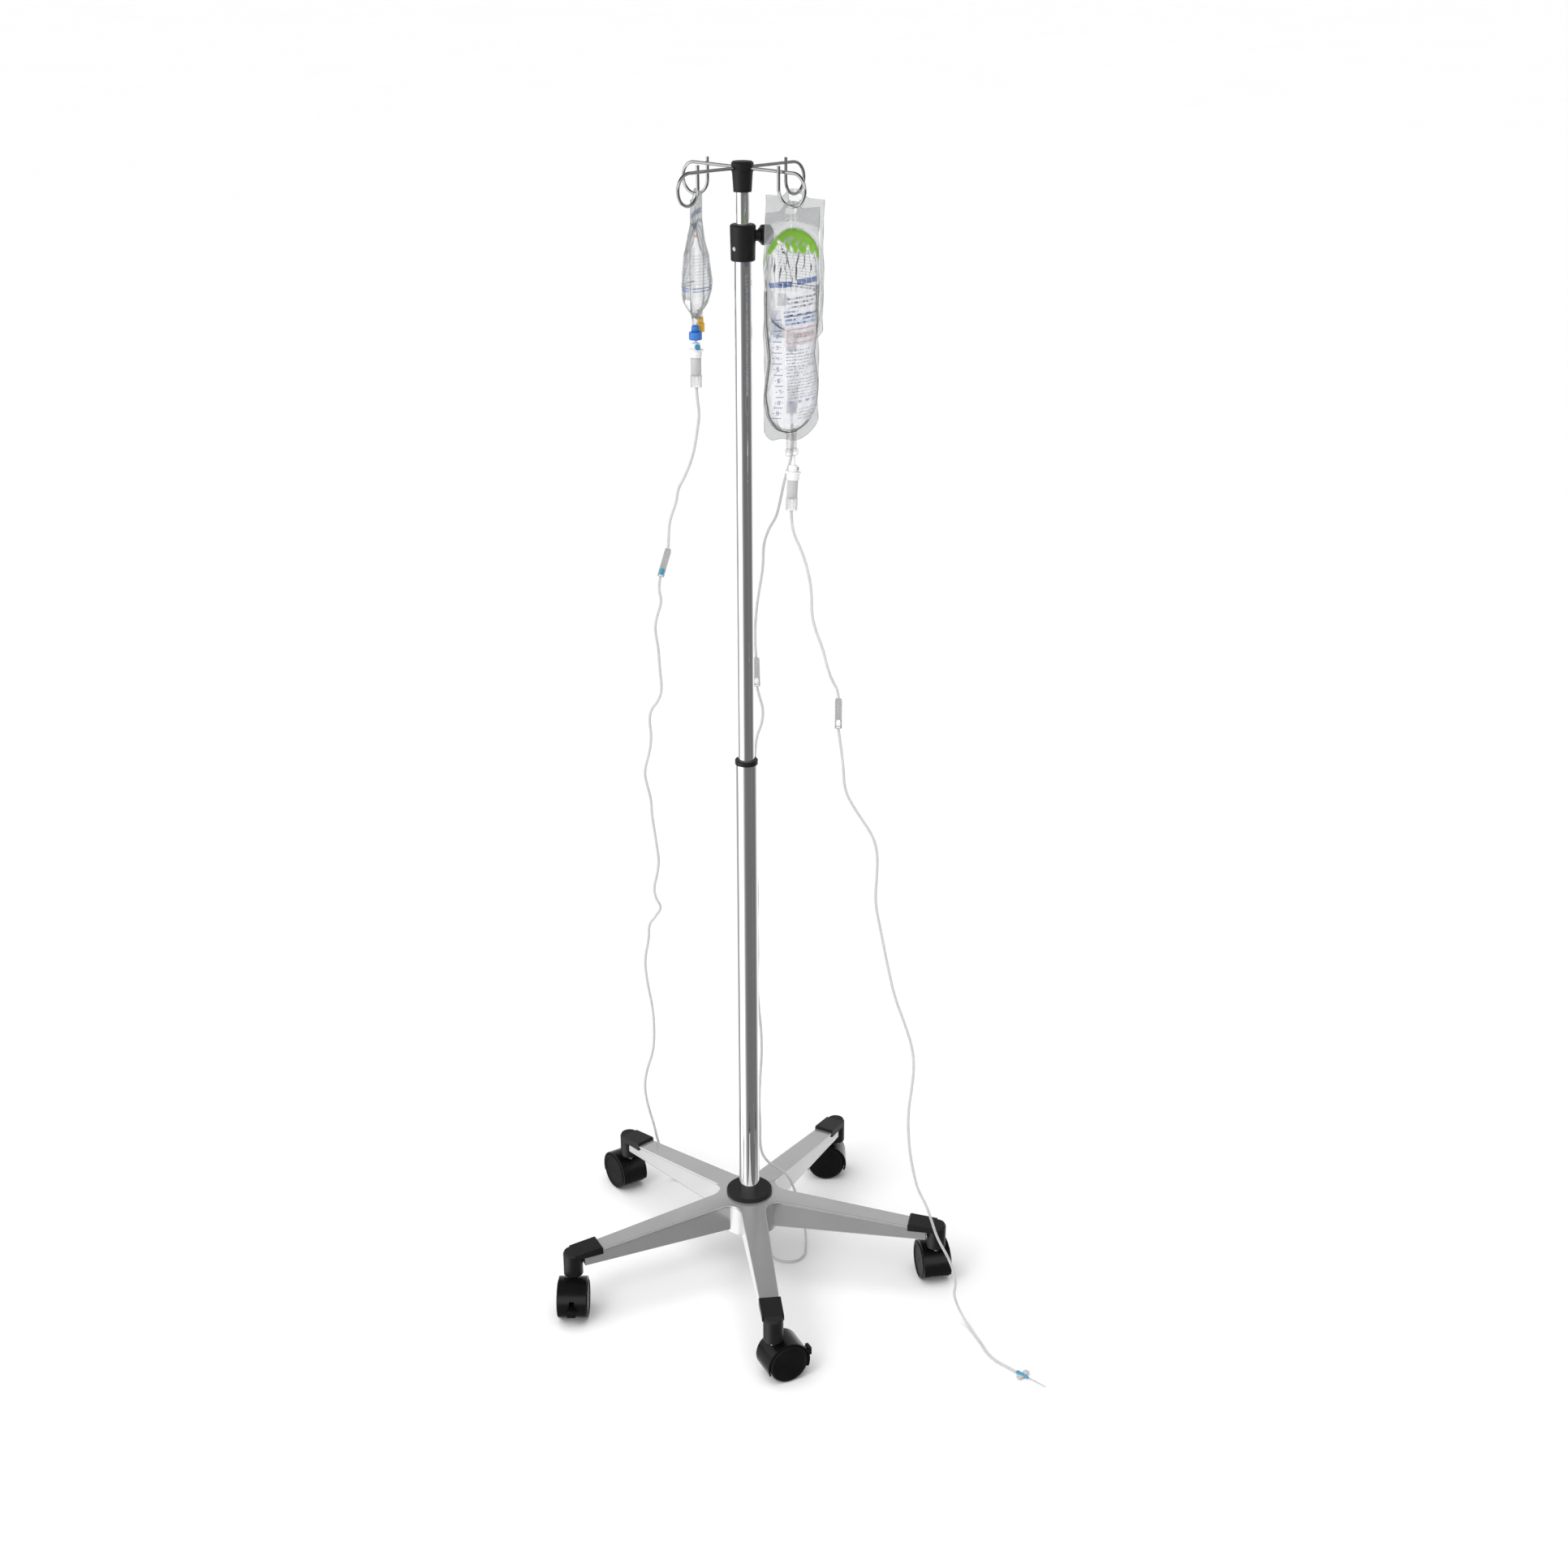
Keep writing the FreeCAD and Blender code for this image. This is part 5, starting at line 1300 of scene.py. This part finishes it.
def make_roller_clamp(letter):
    """A channel with turned-out lips and tapered ends, and a knurled roller in it."""
    low, turn = clamp_axes(letter)
    points = []
    for height, scale, shift in CLAMP_STATIONS:
        for x, y in CLAMP_OUTLINE:
            deeper = shift if y > 4 else 0.0
            local = Vector((x * scale, y - deeper, height)) / 1000
            points.append(low + turn @ local)
    faces = ring_faces(len(CLAMP_STATIONS), len(CLAMP_OUTLINE))
    item = piece("clamp_%s_shell" % letter, points, faces, SHELL, "mast", "clamp_shell",
                 smooth=False)
    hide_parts("roller_clamp_" + letter)
    centre = low + turn @ ROLLER_PLACE
    axle = turn @ Vector((1, 0, 0))
    wheel = lathed([(0.0, 0.0036), (0.0004, 0.0044), (0.0010, 0.0045), (0.0044, 0.0045),
                    (0.0050, 0.0044), (0.0054, 0.0036)], centre, axle, 96, 24, 0.0004)
    hub = lathed([(-0.0006, 0.0012), (-0.0004, 0.0016), (0.0058, 0.0016), (0.0060, 0.0012)],
                 centre, axle, 24)
    item = piece("roller_%s_wheel" % letter, *merged([wheel, hub]),
                 TEAL if letter == "a" else WHITE, "roller_" + letter, "roller")
    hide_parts("roller_" + letter)


for letter in ROLLER_CLAMPS:
    make_roller_clamp(letter)


def make_connector(letter):
    """A ribbed luer connector with its cap, on a line's free end."""
    before, end = (Vector(p) for p in LOWER_ROUTES[letter][-2:])
    along = (end - before).normalized()
    start = Vector((end.x, end.y, 0.0030))
    body = lathed([(0.0, 0.0018), (0.0004, 0.0023), (0.006, 0.0025), (0.0066, 0.0029),
                   (0.0084, 0.0029), (0.0090, 0.0024), (0.0120, 0.0024)], start, along, 32)
    cap = lathed(rounded_step(0.0115, 0.00295, 0.0218, 0.0005), start, along, 48, 12, 0.0003)
    item = piece("line_%s_connector" % letter, *body, WHITE, "base", "connector")
    cover = piece("line_%s_cap" % letter, *cap, TEAL, "base", "connector")
    return item, cover


# Each wing's stations: reach from the hub's axis, lift and thickness.
WING_STATIONS = [(0.0022, 0.0, 0.0012), (0.005, 0.0006, 0.0009), (0.0085, 0.0012, 0.0006),
                 (0.0115, 0.0014, 0.0005)]


def make_cannula():
    """The winged cannula on the middle line's end: hub, wings and catheter."""
    before, end = (Vector(p) for p in LOWER_ROUTES["b"][-2:])
    along = Vector((end.x - before.x, end.y - before.y, 0)).normalized()
    across = Vector((-along.y, along.x, 0))
    start = Vector((end.x, end.y, 0.003))
    hub = lathed([(0.0, 0.0019), (0.0005, 0.0026), (0.0045, 0.0029), (0.0052, 0.0024),
                  (0.0085, 0.0024), (0.0090, 0.0029), (0.0105, 0.0029), (0.0112, 0.0022),
                  (0.0190, 0.0018), (0.0215, 0.0012)], start, along, 32)
    item = piece("cannula_hub", *hub, TEAL, "base", "cannula")
    wings = []
    for sign in (-1, 1):
        points = []
        for reach, lift, thick in WING_STATIONS:
            half = 0.0044 - 0.1 * max(reach - 0.008, 0)
            for ahead, up in ((-half, 0.5), (-half * 0.9, 1), (half * 0.9, 1), (half, 0.5),
                              (half, -0.5), (half * 0.9, -1), (-half * 0.9, -1),
                              (-half, -0.5)):
                points.append(start + along * (0.011 + ahead) + across * (sign * reach)
                              + Vector((0, 0, 0.0002 + lift * 0.6 + up * thick / 2)))
        wings.append((points, ring_faces(len(WING_STATIONS), 8)))
    wing = piece("cannula_wings", *merged(wings), FROSTED, "base", "cannula")
    needle = lathed([(0.021, 0.0007), (0.0225, 0.0006), (0.050, 0.0005), (0.0535, 0.0002)],
                    start, along, 16)
    catheter = piece("cannula_catheter", *needle, STEEL, "base", "cannula")
    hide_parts("cannula")
    return item, wing, catheter


CONNECTORS = {"a": make_connector("a"), "c": make_connector("c"), "b": make_cannula()}
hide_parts("tube_end_caps")
